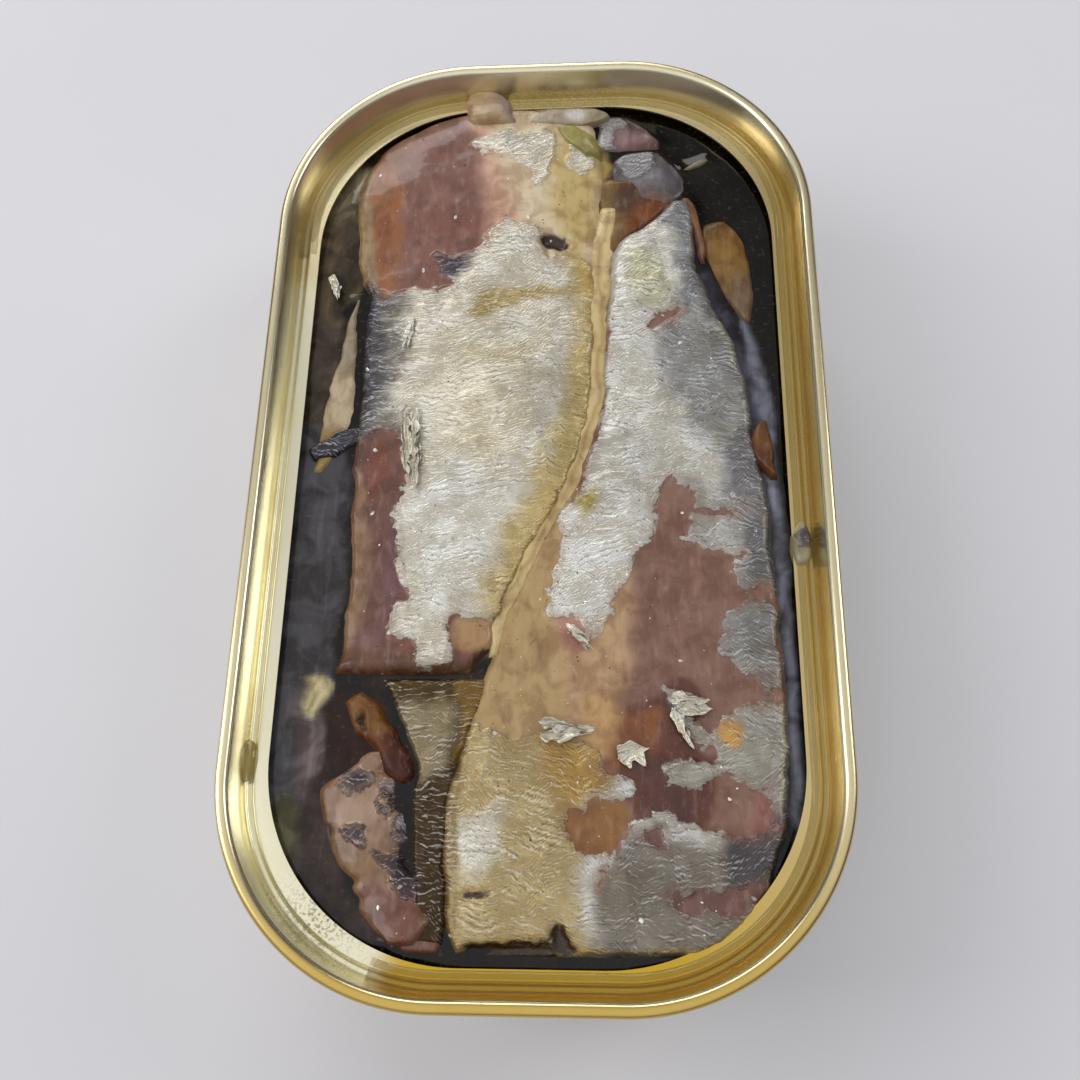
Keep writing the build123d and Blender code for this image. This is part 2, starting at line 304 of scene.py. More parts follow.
class Socket:
    """A shader value that takes part in Python expressions."""

    def __init__(self, shader: "Shader", link: bpy.types.NodeSocket) -> None:
        """Keep the output socket and the shader that it belongs to."""
        self.shader = shader
        self.link = link

    def _math(self, operation: str, *values: "Socket | float") -> "Socket":
        """Add a Math node on these values."""
        return self.shader.node("ShaderNodeMath", {"operation": operation}, dict(enumerate(values)))

    def __add__(self, other: "Socket | float") -> "Socket":
        """Sum."""
        return self._math("ADD", self, other)

    __radd__ = __add__

    def __mul__(self, other: "Socket | float") -> "Socket":
        """Product."""
        return self._math("MULTIPLY", self, other)

    __rmul__ = __mul__

    def __sub__(self, other: "Socket | float") -> "Socket":
        """Difference."""
        return self._math("SUBTRACT", self, other)

    def __rsub__(self, other: float) -> "Socket":
        """Difference from a plain number."""
        return self._math("SUBTRACT", other, self)

    def __truediv__(self, other: "Socket | float") -> "Socket":
        """Quotient."""
        return self._math("DIVIDE", self, other)

    def size(self) -> "Socket":
        """The number without its sign."""
        return self._math("ABSOLUTE", self)

    def sine(self) -> "Socket":
        """Sine of an angle in radians."""
        return self._math("SINE", self)

    def cosine(self) -> "Socket":
        """Cosine of an angle in radians."""
        return self._math("COSINE", self)

    def part(self, name: str) -> "Socket":
        """One axis of a vector or one channel of a colour."""
        kind = "ShaderNodeSeparateXYZ" if name in "XYZ" else "ShaderNodeSeparateColor"
        return self.shader.node(kind, None, {0: self}, name)

    def power(self, exponent: float) -> "Socket":
        """Raise to a power."""
        return self._math("POWER", self, exponent)

    def step(self, low: float, high: float) -> "Socket":
        """Rise from 0 at low to 1 at high, with soft ends."""
        settings = {"interpolation_type": "SMOOTHSTEP"}
        return self.shader.node("ShaderNodeMapRange", settings, {"Value": self, "From Min": low, "From Max": high})


class Shader:
    """Builds one material."""

    def __init__(self, name: str) -> None:
        """Start an empty node material."""
        self.material = bpy.data.materials.new(name)
        self.material.use_nodes = True
        self.nodes = self.material.node_tree.nodes
        self.links = self.material.node_tree.links
        self.nodes.clear()

    def node(self, kind: str, settings: dict | None = None, values: dict | None = None,
             output: str | int = 0) -> Socket:
        """Add a node.

        Args:
            kind: the node's type.
            settings: its settings, such as an operation, set first.
            values: values or links of its sockets, by name or number.
            output: which of its outputs to hand back.

        Returns:
            That output as a Socket.
        """
        node = self.nodes.new(kind)
        for key, value in (settings or {}).items():
            if key == "stops":
                self._stops(node, value)
            else:
                setattr(node, key, value)
        for key, value in (values or {}).items():
            if isinstance(value, Socket):
                self.links.new(value.link, node.inputs[key])
            elif isinstance(value, tuple) and len(value) == 3 and node.inputs[key].type == "RGBA":
                node.inputs[key].default_value = (*value, 1.0)
            else:
                node.inputs[key].default_value = value
        return Socket(self, node.outputs[output])

    @staticmethod
    def _stops(node: bpy.types.Node, stops: Sequence[tuple[float, Colour]]) -> None:
        """Set a colour ramp's stops."""
        elements = node.color_ramp.elements
        while len(elements) < len(stops):
            elements.new(1.0)
        for element, (place, colour) in zip(elements, stops):
            element.position = place
            element.color = (*colour, 1.0)

    def place(self, scale: tuple[float, float, float] = (1, 1, 1), turn: float = 0.0) -> Socket:
        """Object coordinates, stretched and turned about the vertical."""
        coordinates = self.node("ShaderNodeTexCoord", output="Object")
        values = {"Vector": coordinates, "Scale": scale, "Rotation": (0.0, 0.0, math.radians(turn))}
        return self.node("ShaderNodeMapping", None, values)

    def noise(self, size: float, detail: float = 3.0, stretch: tuple[float, float, float] = (1, 1, 1),
              turn: float = 0.0, warp: float = 0.0) -> Socket:
        """Noise from 0 to 1 with features of a size in millimetres."""
        values = {"Vector": self.place(stretch, turn), "Scale": 1 / (size * MM), "Detail": detail, "Distortion": warp}
        return self.node("ShaderNodeTexNoise", {"noise_dimensions": "3D"}, values)

    def mix(self, share: "Socket | float", first: "Socket | Colour", second: "Socket | Colour",
            blend: str = "MIX") -> Socket:
        """Mix two colours."""
        node = self.nodes.new("ShaderNodeMix")
        node.data_type = "RGBA"
        node.blend_type = blend
        node.clamp_factor = True
        for number, value in ((0, share), (6, first), (7, second)):
            if isinstance(value, Socket):
                self.links.new(value.link, node.inputs[number])
            elif number == 0:
                node.inputs[number].default_value = value
            else:
                node.inputs[number].default_value = (*value, 1.0)
        return Socket(self, node.outputs[2])

    def tint(self, name: str) -> Socket:
        """A colour stored on the surface."""
        return self.node("ShaderNodeAttribute", {"attribute_name": name}, output="Color")

    def number(self, name: str) -> Socket:
        """A number stored on the surface."""
        return self.node("ShaderNodeAttribute", {"attribute_name": name}, output="Fac")

    def bump(self, height: Socket, depth: float, strength: float = 1.0, under: Socket | None = None) -> Socket:
        """Turn a height from 0 to 1 into a normal; depth is in millimetres."""
        values = {"Height": height, "Distance": depth * MM, "Strength": strength}
        if under is not None:
            values["Normal"] = under
        return self.node("ShaderNodeBump", None, values)

    def finish(self, values: dict) -> bpy.types.Material:
        """Add the Principled shader with these values and hand back the material."""
        surface = self.node("ShaderNodeBsdfPrincipled", None, values)
        output = self.nodes.new("ShaderNodeOutputMaterial")
        self.links.new(surface.link, output.inputs["Surface"])
        return self.material


# ---- finishes

class Wetness(Enum):
    """How a surface of the food shines."""

    DULL = 0.25
    OILY = 0.7
    DRIPPING = 1.0


@dataclass(frozen=True)
class FishFinish:
    """Cooked flesh under torn, foil-like skin; colours and skin edges come from the surface."""

    wet: Wetness = Wetness.OILY
    skin_roughness: float = 0.34
    flesh_roughness: float = 0.38
    specular: float = 0.5

    @staticmethod
    def crinkle(s: Shader, facet: Socket, pitch: float, lean: float, sway: float) -> Socket:
        """Foil folds: fine parallel ridges whose direction changes from one facet to the next.

        Args:
            s: the shader to add to.
            facet: random colour of each facet.
            pitch: distance between two folds in millimetres.
            lean: how far the folds of a facet may turn, in radians.
            sway: how far the folds wander within a facet, in pitches.

        Returns:
            The folds as a number from 0 to 1.
        """
        turn = (facet.part("Red") - 0.5) * lean
        place = s.place()
        x, y = place.part("X") / (pitch * MM), place.part("Y") / (pitch * MM)
        along = y * turn.cosine() + x * turn.sine() + (s.noise(2.2 * pitch, 2.0, warp=0.3) - 0.5) * sway
        across = x * turn.cosine() - y * turn.sine()
        ridges = ((along + facet.part("Green")) * 2 * math.pi).sine() * 0.5 + 0.5
        spot = s.node("ShaderNodeCombineXYZ", None, {"X": along, "Y": across * 0.22, "Z": facet.part("Green") * 30})
        gate = s.node("ShaderNodeTexNoise", None, {"Vector": spot, "Scale": 0.8, "Detail": 2.0}).step(0.40, 0.62)
        return 0.5 + (ridges - 0.5) * (0.18 + 0.82 * gate)

    def build(self, name: str) -> bpy.types.Material:
        """Make the material."""
        s = Shader(name)
        fray = s.noise(1.1, 8.0, warp=0.7)
        edge = s.number("skin_edge") + (fray - 0.5) * 2.4
        skin = edge.step(-0.10, 0.12)
        whole = edge.step(0.0, 1.3)
        facet, small = (s.node("ShaderNodeTexVoronoi", {"voronoi_dimensions": "2D"}, {
            "Vector": s.place((1.0, 0.6, 1.0)), "Scale": 1 / (cell * MM)}, "Color") for cell in (4.4, 2.0))
        broad = self.crinkle(s, facet, 0.62, 0.9, 2.2)
        narrow = self.crinkle(s, small, 0.31, 1.6, 2.0)
        cloud = s.noise(2.6, 5.0, warp=0.5)
        grit = s.noise(0.16, 3.0)
        amount = (cloud - 0.30).step(0.0, 0.35)
        folds = 0.5 + (broad - 0.5) * 0.66 * amount + (narrow - 0.5) * 0.42
        foil = s.tint("skin_tint")
        foil = s.mix((cloud - 0.5).step(-0.16, 0.20), s.mix(1.0, foil, srgb(224, 218, 206), "MULTIPLY"), foil)
        # Painted reflection: each facet of the foil is darkened by its own amount, as if it caught the light
        # differently.
        painted_facet_shade = (facet.part("Blue") - 0.35).step(0.0, 0.6) * 0.5
        foil = s.mix(painted_facet_shade, foil, s.mix(1.0, foil, srgb(212, 210, 206), "MULTIPLY"))
        # Painted shade darkens the fold valleys and a painted highlight lightens the fold crests into glints; the same
        # folds also drive the bump.
        foil = s.mix((0.42 - folds).step(0.0, 0.28) * 0.62, foil, s.mix(1.0, foil, srgb(150, 140, 124), "MULTIPLY"))
        foil = s.mix((folds - 0.56).step(0.0, 0.26) * 0.60, foil, s.mix(0.5, foil, srgb(250, 249, 246)))
        foil = s.mix((grit - 0.57).step(0.0, 0.12) * 0.35, foil, s.mix(1.0, foil, srgb(140, 130, 116), "MULTIPLY"))
        flesh = s.tint("flesh_tint")
        mottle = s.noise(2.4, 6.0, warp=0.4)
        vein = s.noise(0.7, 3.0, (1.0, 0.30, 1.0), 8.0, 0.3)
        flesh = s.mix((mottle - 0.42).step(0.0, 0.22) * 0.8, flesh, s.mix(1.0, flesh, srgb(206, 190, 176), "MULTIPLY"))
        flesh = s.mix((vein - 0.50).step(0.0, 0.25) * 0.22, flesh, s.mix(0.4, flesh, srgb(232, 206, 186)))
        flesh = s.mix((0.46 - vein).step(0.0, 0.20) * 0.35, flesh, s.mix(1.0, flesh, srgb(190, 160, 140), "MULTIPLY"))
        flesh = s.mix((grit - 0.64).step(0.0, 0.10) * 0.16, flesh, srgb(236, 222, 206))
        torn = (1 - whole) * 0.35
        foil = s.mix(torn, foil, flesh)
        base = s.mix(skin, flesh, foil)
        pit = s.number("pit") + (fray - 0.5) * 0.9
        hole = pit.step(-0.1, 0.3)
        base = s.mix(hole, base, s.mix(fray, srgb(26, 15, 9), srgb(66, 42, 22)))
        normal = s.bump((folds * 0.8 + grit * 0.25 + cloud * 0.4) * skin + mottle * 0.25 * (1 - skin), 0.13, 0.85)
        roughness = self.flesh_roughness * (1 - skin) + (self.skin_roughness + (cloud - 0.5) * 0.25) * skin
        return s.finish({
            "Base Color": base, "Metallic": skin * 0.50 * (1 - hole), "Roughness": roughness, "Normal": normal,
            "IOR": 1.42, "Specular IOR Level": self.specular, "Coat Weight": self.wet.value,
            "Coat Roughness": 0.10, "Coat IOR": 1.35,
        })


@dataclass(frozen=True)
class PlateFinish:
    """Tinplate under a thin gold lacquer; the wet part is a deeper yellow."""

    dry: Colour = srgb(241, 237, 211)
    wet: Colour = srgb(203, 165, 44)

    def build(self, name: str) -> bpy.types.Material:
        """Make the material."""
        s = Shader(name)
        cloud = s.noise(6.0, 4.0)
        scuff = s.noise(0.35, 3.0)
        wet = s.number("wet")
        base = s.mix(wet, self.dry, self.wet)
        base = s.mix((cloud - 0.4) * 0.5, base, s.mix(1.0, base, srgb(214, 200, 150), "MULTIPLY"))
        stain = s.number("scuff") * (scuff - 0.5).step(-0.02, 0.10)
        base = s.mix(stain * 0.75, base, srgb(120, 114, 88))
        fine = s.noise(0.12, 2.0)
        roughness = 0.24 + (cloud - 0.5) * 0.12 + stain * 0.35 + (fine - 0.5) * 0.06
        normal = s.bump(fine * 0.3 + cloud * 0.7, 0.02, 0.35)
        return s.finish({
            "Base Color": base, "Metallic": 1.0 - stain * 0.6, "Roughness": roughness, "Normal": normal,
            "Coat Weight": 0.3, "Coat Roughness": 0.15,
        })


@dataclass(frozen=True)
class OilFinish:
    """Dark oil; what is sunk in it shows as dim colours under a clear gloss, with painted shade in the deep, narrow
    gaps.
    """

    roughness: float = 0.06

    def build(self, name: str) -> bpy.types.Material:
        """Make the material."""
        s = Shader(name)
        cloud = s.noise(3.0, 6.0, warp=0.8)
        streak = s.noise(0.9, 5.0, (1.0, 0.14, 1.0), 2.0, 0.5)
        haze = s.noise(0.5, 4.0)
        # The stored tint holds the colours of sunk things plus the painted shade of the deep gaps.
        base = s.tint("sunk_colour_and_shade")
        base = s.mix((cloud - 0.36).step(0.0, 0.3) * 0.75, base, s.mix(1.0, base, srgb(128, 112, 96), "MULTIPLY"))
        base = s.mix((streak - 0.50).step(0.0, 0.2) * 0.45, base, s.mix(1.0, base, base, "ADD"))
        base = s.mix((haze - 0.58).step(0.0, 0.15) * 0.25, base, s.mix(0.4, base, srgb(150, 132, 108)))
        swirl = s.noise(9.0, 2.0, warp=1.0)
        return s.finish({
            "Base Color": base, "Roughness": self.roughness + (haze - 0.5) * 0.04, "IOR": 1.45,
            "Specular IOR Level": 0.36,
            "Normal": s.bump(swirl, 0.2, 0.4),
        })


@dataclass(frozen=True)
class FilmFinish:
    """A thin clear layer of yellow oil on metal."""

    tint: Colour = srgb(160, 134, 44)
    alpha: float = 0.22

    def build(self, name: str) -> bpy.types.Material:
        """Make the material."""
        s = Shader(name)
        cloud = s.noise(4.0, 4.0)
        base = s.mix((cloud - 0.4) * 0.8, self.tint, srgb(128, 104, 26))
        return s.finish({
            "Base Color": base, "Roughness": 0.05 + cloud * 0.05, "Alpha": self.alpha, "IOR": 1.47,
            "Coat Weight": 1.0, "Coat Roughness": 0.02, "Coat IOR": 1.47,
            "Normal": s.bump(cloud, 0.15, 0.4),
        })


@dataclass(frozen=True)
class SoftFinish:
    """One cooked, oily stuff with mottling, such as a clove, a seed or a thin bone."""

    light: Colour
    dark: Colour
    size: float = 1.5
    metal: float = 0.0
    roughness: float = 0.3

    def build(self, name: str) -> bpy.types.Material:
        """Make the material."""
        s = Shader(name)
        mottle = s.noise(self.size, 5.0, warp=0.4)
        fine = s.noise(self.size / 5, 3.0)
        base = s.mix((mottle - 0.5).step(-0.16, 0.16), self.dark, self.light)
        base = s.mix((fine - 0.5).step(0.05, 0.2) * 0.3, base, self.dark)
        return s.finish({
            "Base Color": base, "Metallic": self.metal, "Roughness": self.roughness + (fine - 0.5) * 0.2,
            "Normal": s.bump(fine * 0.6 + mottle, 0.12, 0.6), "Coat Weight": 0.8, "Coat Roughness": 0.08,
            "Subsurface Weight": 0.0,
        })


# ---- metal

@dataclass
class TinMetal:
    """The drawn body and the seamed end, swept round the tin's outline."""

    sheet: float = 0.22
    layer_gap: float = 0.04
    seam_height: float = 2.9
    lip_depth: float = 3.5
    groove_depth: float = 4.15
    chuck_foot: float = 0.8
    tear_side: float = 4.1
    tear_end: float = 3.9
    tear_radius: float = 19.1
    draft: float = 0.44
    arc_steps: int = 56
    straight_steps: int = 26
    parts: list[bpy.types.Object] = field(default_factory=list)

    def bent_line(self, points: Sequence[Point], radii: Sequence[float]) -> Array:
        """A centre line with rounded corners.

        Args:
            points: corners of the line.
            radii: bend radius at each inner corner.

        Returns:
            Points along the rounded line.
        """
        p = np.array(points, float)
        line = [p[0]]
        for k, radius in enumerate(radii, start=1):
            into = (p[k] - p[k - 1]) / np.linalg.norm(p[k] - p[k - 1])
            out = (p[k + 1] - p[k]) / np.linalg.norm(p[k + 1] - p[k])
            turn = math.acos(float(np.clip(into @ out, -1, 1)))
            cut = radius * math.tan(turn / 2)
            start = p[k] - into * cut
            side = 1 if into[0] * out[1] - into[1] * out[0] > 0 else -1
            centre = start + radius * side * np.array([-into[1], into[0]])
            steps = max(2, int(turn / math.radians(11)))
            for i in range(steps + 1):
                angle = side * turn * i / steps
                arm = start - centre
                line.append(centre + np.array([arm[0] * math.cos(angle) - arm[1] * math.sin(angle),
                                               arm[0] * math.sin(angle) + arm[1] * math.cos(angle)]))
        line.append(p[-1])
        return np.array(line)

    def sheet_loop(self, line: Array) -> Array:
        """Both faces of a sheet along its centre line, with a rounded edge at each end."""
        along = np.gradient(line, axis=0)
        along /= np.linalg.norm(along, axis=1)[:, None]
        normal = np.stack([-along[:, 1], along[:, 0]], 1) * self.sheet / 2

        def cap(centre: Array, arm: Array) -> list[Array]:
            """Three points round the edge of the sheet."""
            angles = np.radians([-45, -90, -135])
            return [centre + np.array([arm[0] * math.cos(a) - arm[1] * math.sin(a),
                                       arm[0] * math.sin(a) + arm[1] * math.cos(a)]) for a in angles]

        one, other = line + normal, line - normal
        return np.concatenate([one, cap(line[-1], normal[-1]), other[::-1], cap(line[0], -normal[0])])

    def _round(self, angle: float, quarter: int, inset: Array, tear: Array) -> Array:
        """One round of the outline at an angle of one corner: the seam's line, or the torn opening's."""
        sx, sy = (1, -1, -1, 1)[quarter], (1, 1, -1, -1)[quarter]
        seam = self._corner(angle, sx, sy, inset, inset, TIN.corner_radius - inset)
        torn = self._corner(angle, sx, sy, np.full_like(inset, self.tear_side),
                            np.full_like(inset, self.tear_end), np.full_like(inset, self.tear_radius))
        return seam * (1 - tear[:, None]) + torn * tear[:, None]

    def outline(self, inset: Array, tear: Array) -> Array:
        """Points round the tin for each point of a section.

        Args:
            inset: each section point's distance inside the seam's outer edge.
            tear: 1 where a section point follows the torn opening, else 0.

        Returns:
            Points as rounds by section points by two.
        """
        rounds = []
        for quarter in range(4):
            for angle in np.radians(np.linspace(quarter * 90, quarter * 90 + 90, self.arc_steps + 1)):
                rounds.append(self._round(angle, quarter, inset, tear))
            follower = (quarter + 1) % 4
            goal = self._round(math.radians(follower * 90), follower, inset, tear)
            start = rounds[-1]
            for i in range(1, self.straight_steps):
                rounds.append(start + (goal - start) * i / self.straight_steps)
        return np.stack(rounds)

    @staticmethod
    def _corner(angle: float, sx: int, sy: int, side: Array, end: Array, radius: Array) -> Array:
        """Point of a rounded corner at an angle, for each section point."""
        centre_x = sx * (TIN.half_width - side - radius)
        centre_y = sy * (TIN.half_length - end - radius)
        return np.stack([centre_x + radius * math.cos(angle), centre_y + radius * math.sin(angle)], -1)

    def sweep(self, name: str, section: Array, tear: Array) -> tuple[bpy.types.Object, Array]:
        """Carry a closed section once round the tin."""
        rounds = self.outline(section[:, 0], tear)
        turns, count = rounds.shape[:2]
        height = np.broadcast_to(lift(section[:, 1]), (turns, count))
        points = np.concatenate([rounds, height[..., None]], -1)
        index = np.arange(turns * count).reshape(turns, count)
        right, up = np.roll(index, -1, 0), np.roll(index, -1, 1)
        both = np.roll(right, -1, 1)
        faces = np.stack([index, right, both, up], -1).reshape(-1, 4).tolist()
        piece = mesh_piece(name, points.reshape(-1, 3), faces, 40)
        return piece, points

    def end_line(self) -> Array:
        """Centre line of the end, from the torn edge over the seam to the hook's tip."""
        half, layer = self.sheet / 2, self.sheet + self.layer_gap
        seam = 5 * self.sheet + 4 * self.layer_gap
        groove = seam - half + self.chuck_foot
        lip_z, hook = -self.lip_depth - half, half + 2 * layer
        foot = -self.seam_height + half
        corners = [(self.tear_side - half, lip_z), (groove + 0.9, lip_z), (groove + 0.6, -self.groove_depth),
                   (groove, -self.groove_depth), (seam - half, -half), (half, -half), (half, foot), (hook, foot),
                   (hook, -half - layer - 0.55)]
        return self.bent_line(corners, [0.25, 0.25, 0.25, 0.45, 0.45, 0.24, 0.24])

    def body_line(self) -> Array:
        """Centre line of the body, from its hook down the wall and in under the base."""
        half, layer = self.sheet / 2, self.sheet + self.layer_gap
        wall, hook = half + 3 * layer, half + layer
        base = -TIN.height + half
        foot = wall + self.draft
        corners = [(hook, -self.seam_height + half + 0.55), (hook, -half - layer), (wall, -half - layer),
                   (wall, -self.seam_height), (foot, base), (foot + 6.3, base), (foot + 6.9, base + 0.8),
                   (foot + 10.8, base + 0.8), (foot + 11.4, base + 0.45), (foot + 12.8, base + 0.45)]
        return self.bent_line(corners, [0.24, 0.24, 2.2, 2.2, 0.35, 0.35, 0.35, 0.35])

    def build(self) -> None:
        """Make both pieces, their wet and scuffed zones, and dress them."""
        plate = PlateFinish().build("gold_lacquered_tinplate")
        line = self.end_line()
        section = self.sheet_loop(line)
        tear = smooth(section[:, 0], self.tear_side - 1.15, self.tear_side - 0.3)
        ring, points = self.sweep("seamed_end", section, tear)
        self._zones(ring, points)
        body_section = self.sheet_loop(self.body_line())
        body, body_points = self.sweep("drawn_body", body_section, np.zeros(len(body_section)))
        self._zones(body, body_points)
        panel = self._base_panel()
        self.parts = [(ring, ("end_ring",)), (body, ("can_body",)), (panel, ())]
        for piece, nodes in self.parts:
            piece.data.materials.append(plate)
            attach(piece, BODY)
            if nodes:
                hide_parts(*nodes)
            LOG.info("metal piece %s: %d faces", piece.name, len(piece.data.polygons))

    def _base_panel(self) -> bpy.types.Object:
        """Flat middle of the base, lapped into the swept part."""
        inset = 14.0
        angles = np.radians(np.arange(0, 360, 5.0))
        radius = TIN.corner_radius - inset
        cx = np.where(np.cos(angles) >= 0, 1, -1) * (TIN.half_width - TIN.corner_radius)
        cy = np.where(np.sin(angles) >= 0, 1, -1) * (TIN.half_length - TIN.corner_radius)
        ring = np.stack([cx + radius * np.cos(angles), cy + radius * np.sin(angles)], -1)
        z = 0.11 + 0.45
        low = np.column_stack([ring, np.full(len(ring), z - 0.11)])
        high = np.column_stack([ring, np.full(len(ring), z + 0.11)])
        n = len(ring)
        faces = [[k, (k + 1) % n, n + (k + 1) % n, n + k] for k in range(n)]
        faces += [list(range(n))[::-1], list(range(n, 2 * n))]
        piece = mesh_piece("base_panel", np.concatenate([low, high]), faces, 40)
        add_numbers(piece, "wet", np.zeros(2 * n))
        add_numbers(piece, "scuff", np.zeros(2 * n))
        return piece

    @staticmethod
    def _zones(piece: bpy.types.Object, points: Array) -> None:
        """Store where the metal is wet and where it is scuffed."""
        x, y, z = points[..., 0], points[..., 1], points[..., 2] - TIN.height
        bearing = np.degrees(np.arctan2(y, x))
        wet = smooth(bearing, -107, -104) * (1 - smooth(bearing, 136, 139))
        wet = wet * (1.0 - 0.38 * smooth(bearing, -78, -50) - 0.30 * smooth(bearing, 50, 75))
        inner = smooth(-z, 0.2, 1.4) * (1 - smooth(-z, 5, 6))
        inset = TIN.wall_distance(x, y, 0)
        inner = inner * smooth(inset, 1.0, 1.3)
        crest = (0.36 + 0.5 * smooth(-y, 30, 50)) * (1 - smooth(inset, 0.9, 1.3))
        add_numbers(piece, "wet", (0.10 + 0.90 * wet) * inner + crest)
        near_corner = np.exp(-((x + 19) ** 2 / 14 + (y + 44) ** 2 / 10))
        scuff = near_corner + 0.5 * np.exp(-((x - 3) ** 2 / 60 + (y - 47) ** 2 / 6))
        add_numbers(piece, "scuff", scuff * inner)


# ---- food pieces

@dataclass
class Slab:
    """A piece of fish seen from above: a wrinkled top over a plain underside."""

    name: str
    nodes: tuple[str, ...]
    edges: tuple[tuple[float, float, float], ...]
    crown: float = -3.1
    sag: float = 0.7
    bevel: float = 1.3
    drop: float = 2.1
    step: float = 0.22
    thick: float = 9.0
    heading: float = 0.0
    origin: Point = (0.0, 0.0)
    ground: Colour = srgb(170, 130, 110)
    skin_ground: Colour = srgb(205, 198, 180)
    flesh: tuple[Patch, ...] = ()
    foil: tuple[Patch, ...] = ()
    skin: tuple[Patch, ...] = ()
    bare: tuple[Patch, ...] = ()
    pits: tuple[Patch, ...] = ()
    skin_all: bool = False
    wrinkle: float = 1.0
    lumps: float = 0.22
    slot: str = "fish_skin"
    skin_rise: float = 0.10
    edge_wander: float = 0.25

    def plan(self) -> tuple[Array, Array, Array]:
        """Grid over the piece.

        Returns:
            Places x and y, and the distance in from the piece's edge.
        """
        stations = np.array(self.edges, float)
        stations = stations[np.argsort(stations[:, 0])]
        low, high = stations[0, 0], stations[-1, 0]
        rows = max(12, int(round((high - low) / self.step)))
        along = np.linspace(low, high, rows + 1)
        left = self._eased(along, stations[:, 0], stations[:, 1])
        right = self._eased(along, stations[:, 0], stations[:, 2])
        left += self.edge_wander * (COARSE.at(along, along * 0 + 3, 2.9) + 0.5 * FINE.at(along, along * 0, 0.9))
        right += self.edge_wander * (MIDDLE.at(along, along * 0 + 9, 2.7) + 0.5 * FINE.at(along, along * 0 + 5, 0.8))
        widest = float((right - left).max())
        columns = max(8, int(round(widest / self.step)))
        share = np.linspace(0, 1, columns + 1)
        across = left[:, None] + (right - left)[:, None] * share
        there = np.repeat(along[:, None], columns + 1, 1)
        side = np.minimum(across - left[:, None], right[:, None] - across)
        end = np.minimum(there - low, high - there)
        angle = math.radians(self.heading)
        x = self.origin[0] + across * math.cos(angle) - there * math.sin(angle)
        y = self.origin[1] + across * math.sin(angle) + there * math.cos(angle)
        self.share = np.broadcast_to(share * 2 - 1, x.shape)
        return x, y, np.minimum(side, end)

    def _eased(self, along: Array, stations: Array, values: Array) -> Array:
        """Join station values by a line whose kinks are rounded."""
        reach = max(1, int(1.6 / self.step))
        dense = np.interp(along, stations, values)
        padded = np.concatenate([2 * dense[0] - dense[reach:0:-1], dense, 2 * dense[-1] - dense[-2:-reach - 2:-1]])
        kernel = np.hanning(2 * reach + 1)
        return np.convolve(padded, kernel / kernel.sum(), "valid")

    def skin_edge(self, x: Array, y: Array) -> Array:
        """Signed distance into the skin, in millimetres."""
        edge = np.full(x.shape, 4.0 if self.skin_all else -4.0)
        for patch in self.skin:
            edge = np.maximum(edge, patch.depth_in(x, y))
        for patch in self.bare:
            edge = np.minimum(edge, -patch.depth_in(x, y))
        return edge

    def relief(self, x: Array, y: Array, edge: Array, pit: Array) -> Array:
        """Height of folds, wrinkles, skin edges and pits above the plain form."""
        skin = smooth(edge, -0.12, 0.14)
        curl = np.exp(-((edge - 0.35) / 0.30) ** 2) * 0.04
        bend_x = x + 1.6 * COARSE.at(x, y, 6.0)
        bend_y = y + 0.9 * MIDDLE.at(x, y, 4.2)
        fold = MIDDLE.ridged(bend_x, bend_y, 5.5, 1.5)
        crease = FINE.ridged(bend_x, bend_y, 2.6, 0.62)
        tiny = COARSE.ridged(bend_x + 9, bend_y, 1.6, 0.45)
        strength = 0.6 + 0.4 * COARSE.at(x + 20, y, 7.0)
        wrinkles = self.wrinkle * strength * (0.15 * fold ** 2 + 0.08 * crease ** 1.5 + 0.03 * tiny)
        flakes = 0.03 * COARSE.at(x, y, 2.2) + 0.012 * FINE.at(x, y, 0.9)
        lumps = self.lumps * (COARSE.at(x, y, 8.5) + 0.5 * MIDDLE.at(x, y, 3.6))
        rise = skin * (self.skin_rise + wrinkles) + curl * skin + (1 - skin) * flakes + lumps
        return rise - 0.9 * smooth(pit, -0.4, 0.9)

    def build(self, finish: bpy.types.Material) -> bpy.types.Object:
        """Make the piece, dress it and tie it to the tin."""
        x, y, inside = self.plan()
        edge = self.skin_edge(x, y)
        pit = np.full(x.shape, -4.0)
        for patch in self.pits:
            pit = np.maximum(pit, patch.depth_in(x, y))
        fall = 1 - np.clip(inside / self.bevel, 0, 1)
        z = self.crown - self.sag * np.abs(self.share) ** 2.4 - self.drop * (1 - np.sqrt(1 - fall ** 2))
        z = z + self.relief(x, y, edge, pit) * smooth(inside, 0.0, 0.7)
        low = min(float(z.min()) - 0.5, TIN.oil_level - self.thick)
        points, faces = closed_sheet(np.stack([x, y, lift(z)], -1), TIN.height + low)
        piece = mesh_piece(self.name, points, faces)
        extra = len(points) - x.size
        self._store(piece, "skin_edge", edge, extra)
        self._store(piece, "pit", pit, extra)
        for name, tint in (("flesh_tint", painted(x, y, self.ground, self.flesh)),
                           ("skin_tint", painted(x, y, self.skin_ground, self.foil))):
            flat = tint.reshape(-1, 3)
            add_tints(piece, name, np.concatenate([flat, np.repeat(flat[:1], extra, 0)]))
        piece.data.materials.append(finish)
        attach(piece, BODY)
        if self.nodes:
            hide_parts(*self.nodes)
        LOG.info("food piece %s: %d faces", self.name, len(piece.data.polygons))
        return piece

    @staticmethod
    def _store(piece: bpy.types.Object, name: str, values: Array, extra: int) -> None:
        """Store a number on the top's points and a plain one on the points under it."""
        add_numbers(piece, name, np.concatenate([values.ravel(), np.full(extra, -4.0)]))


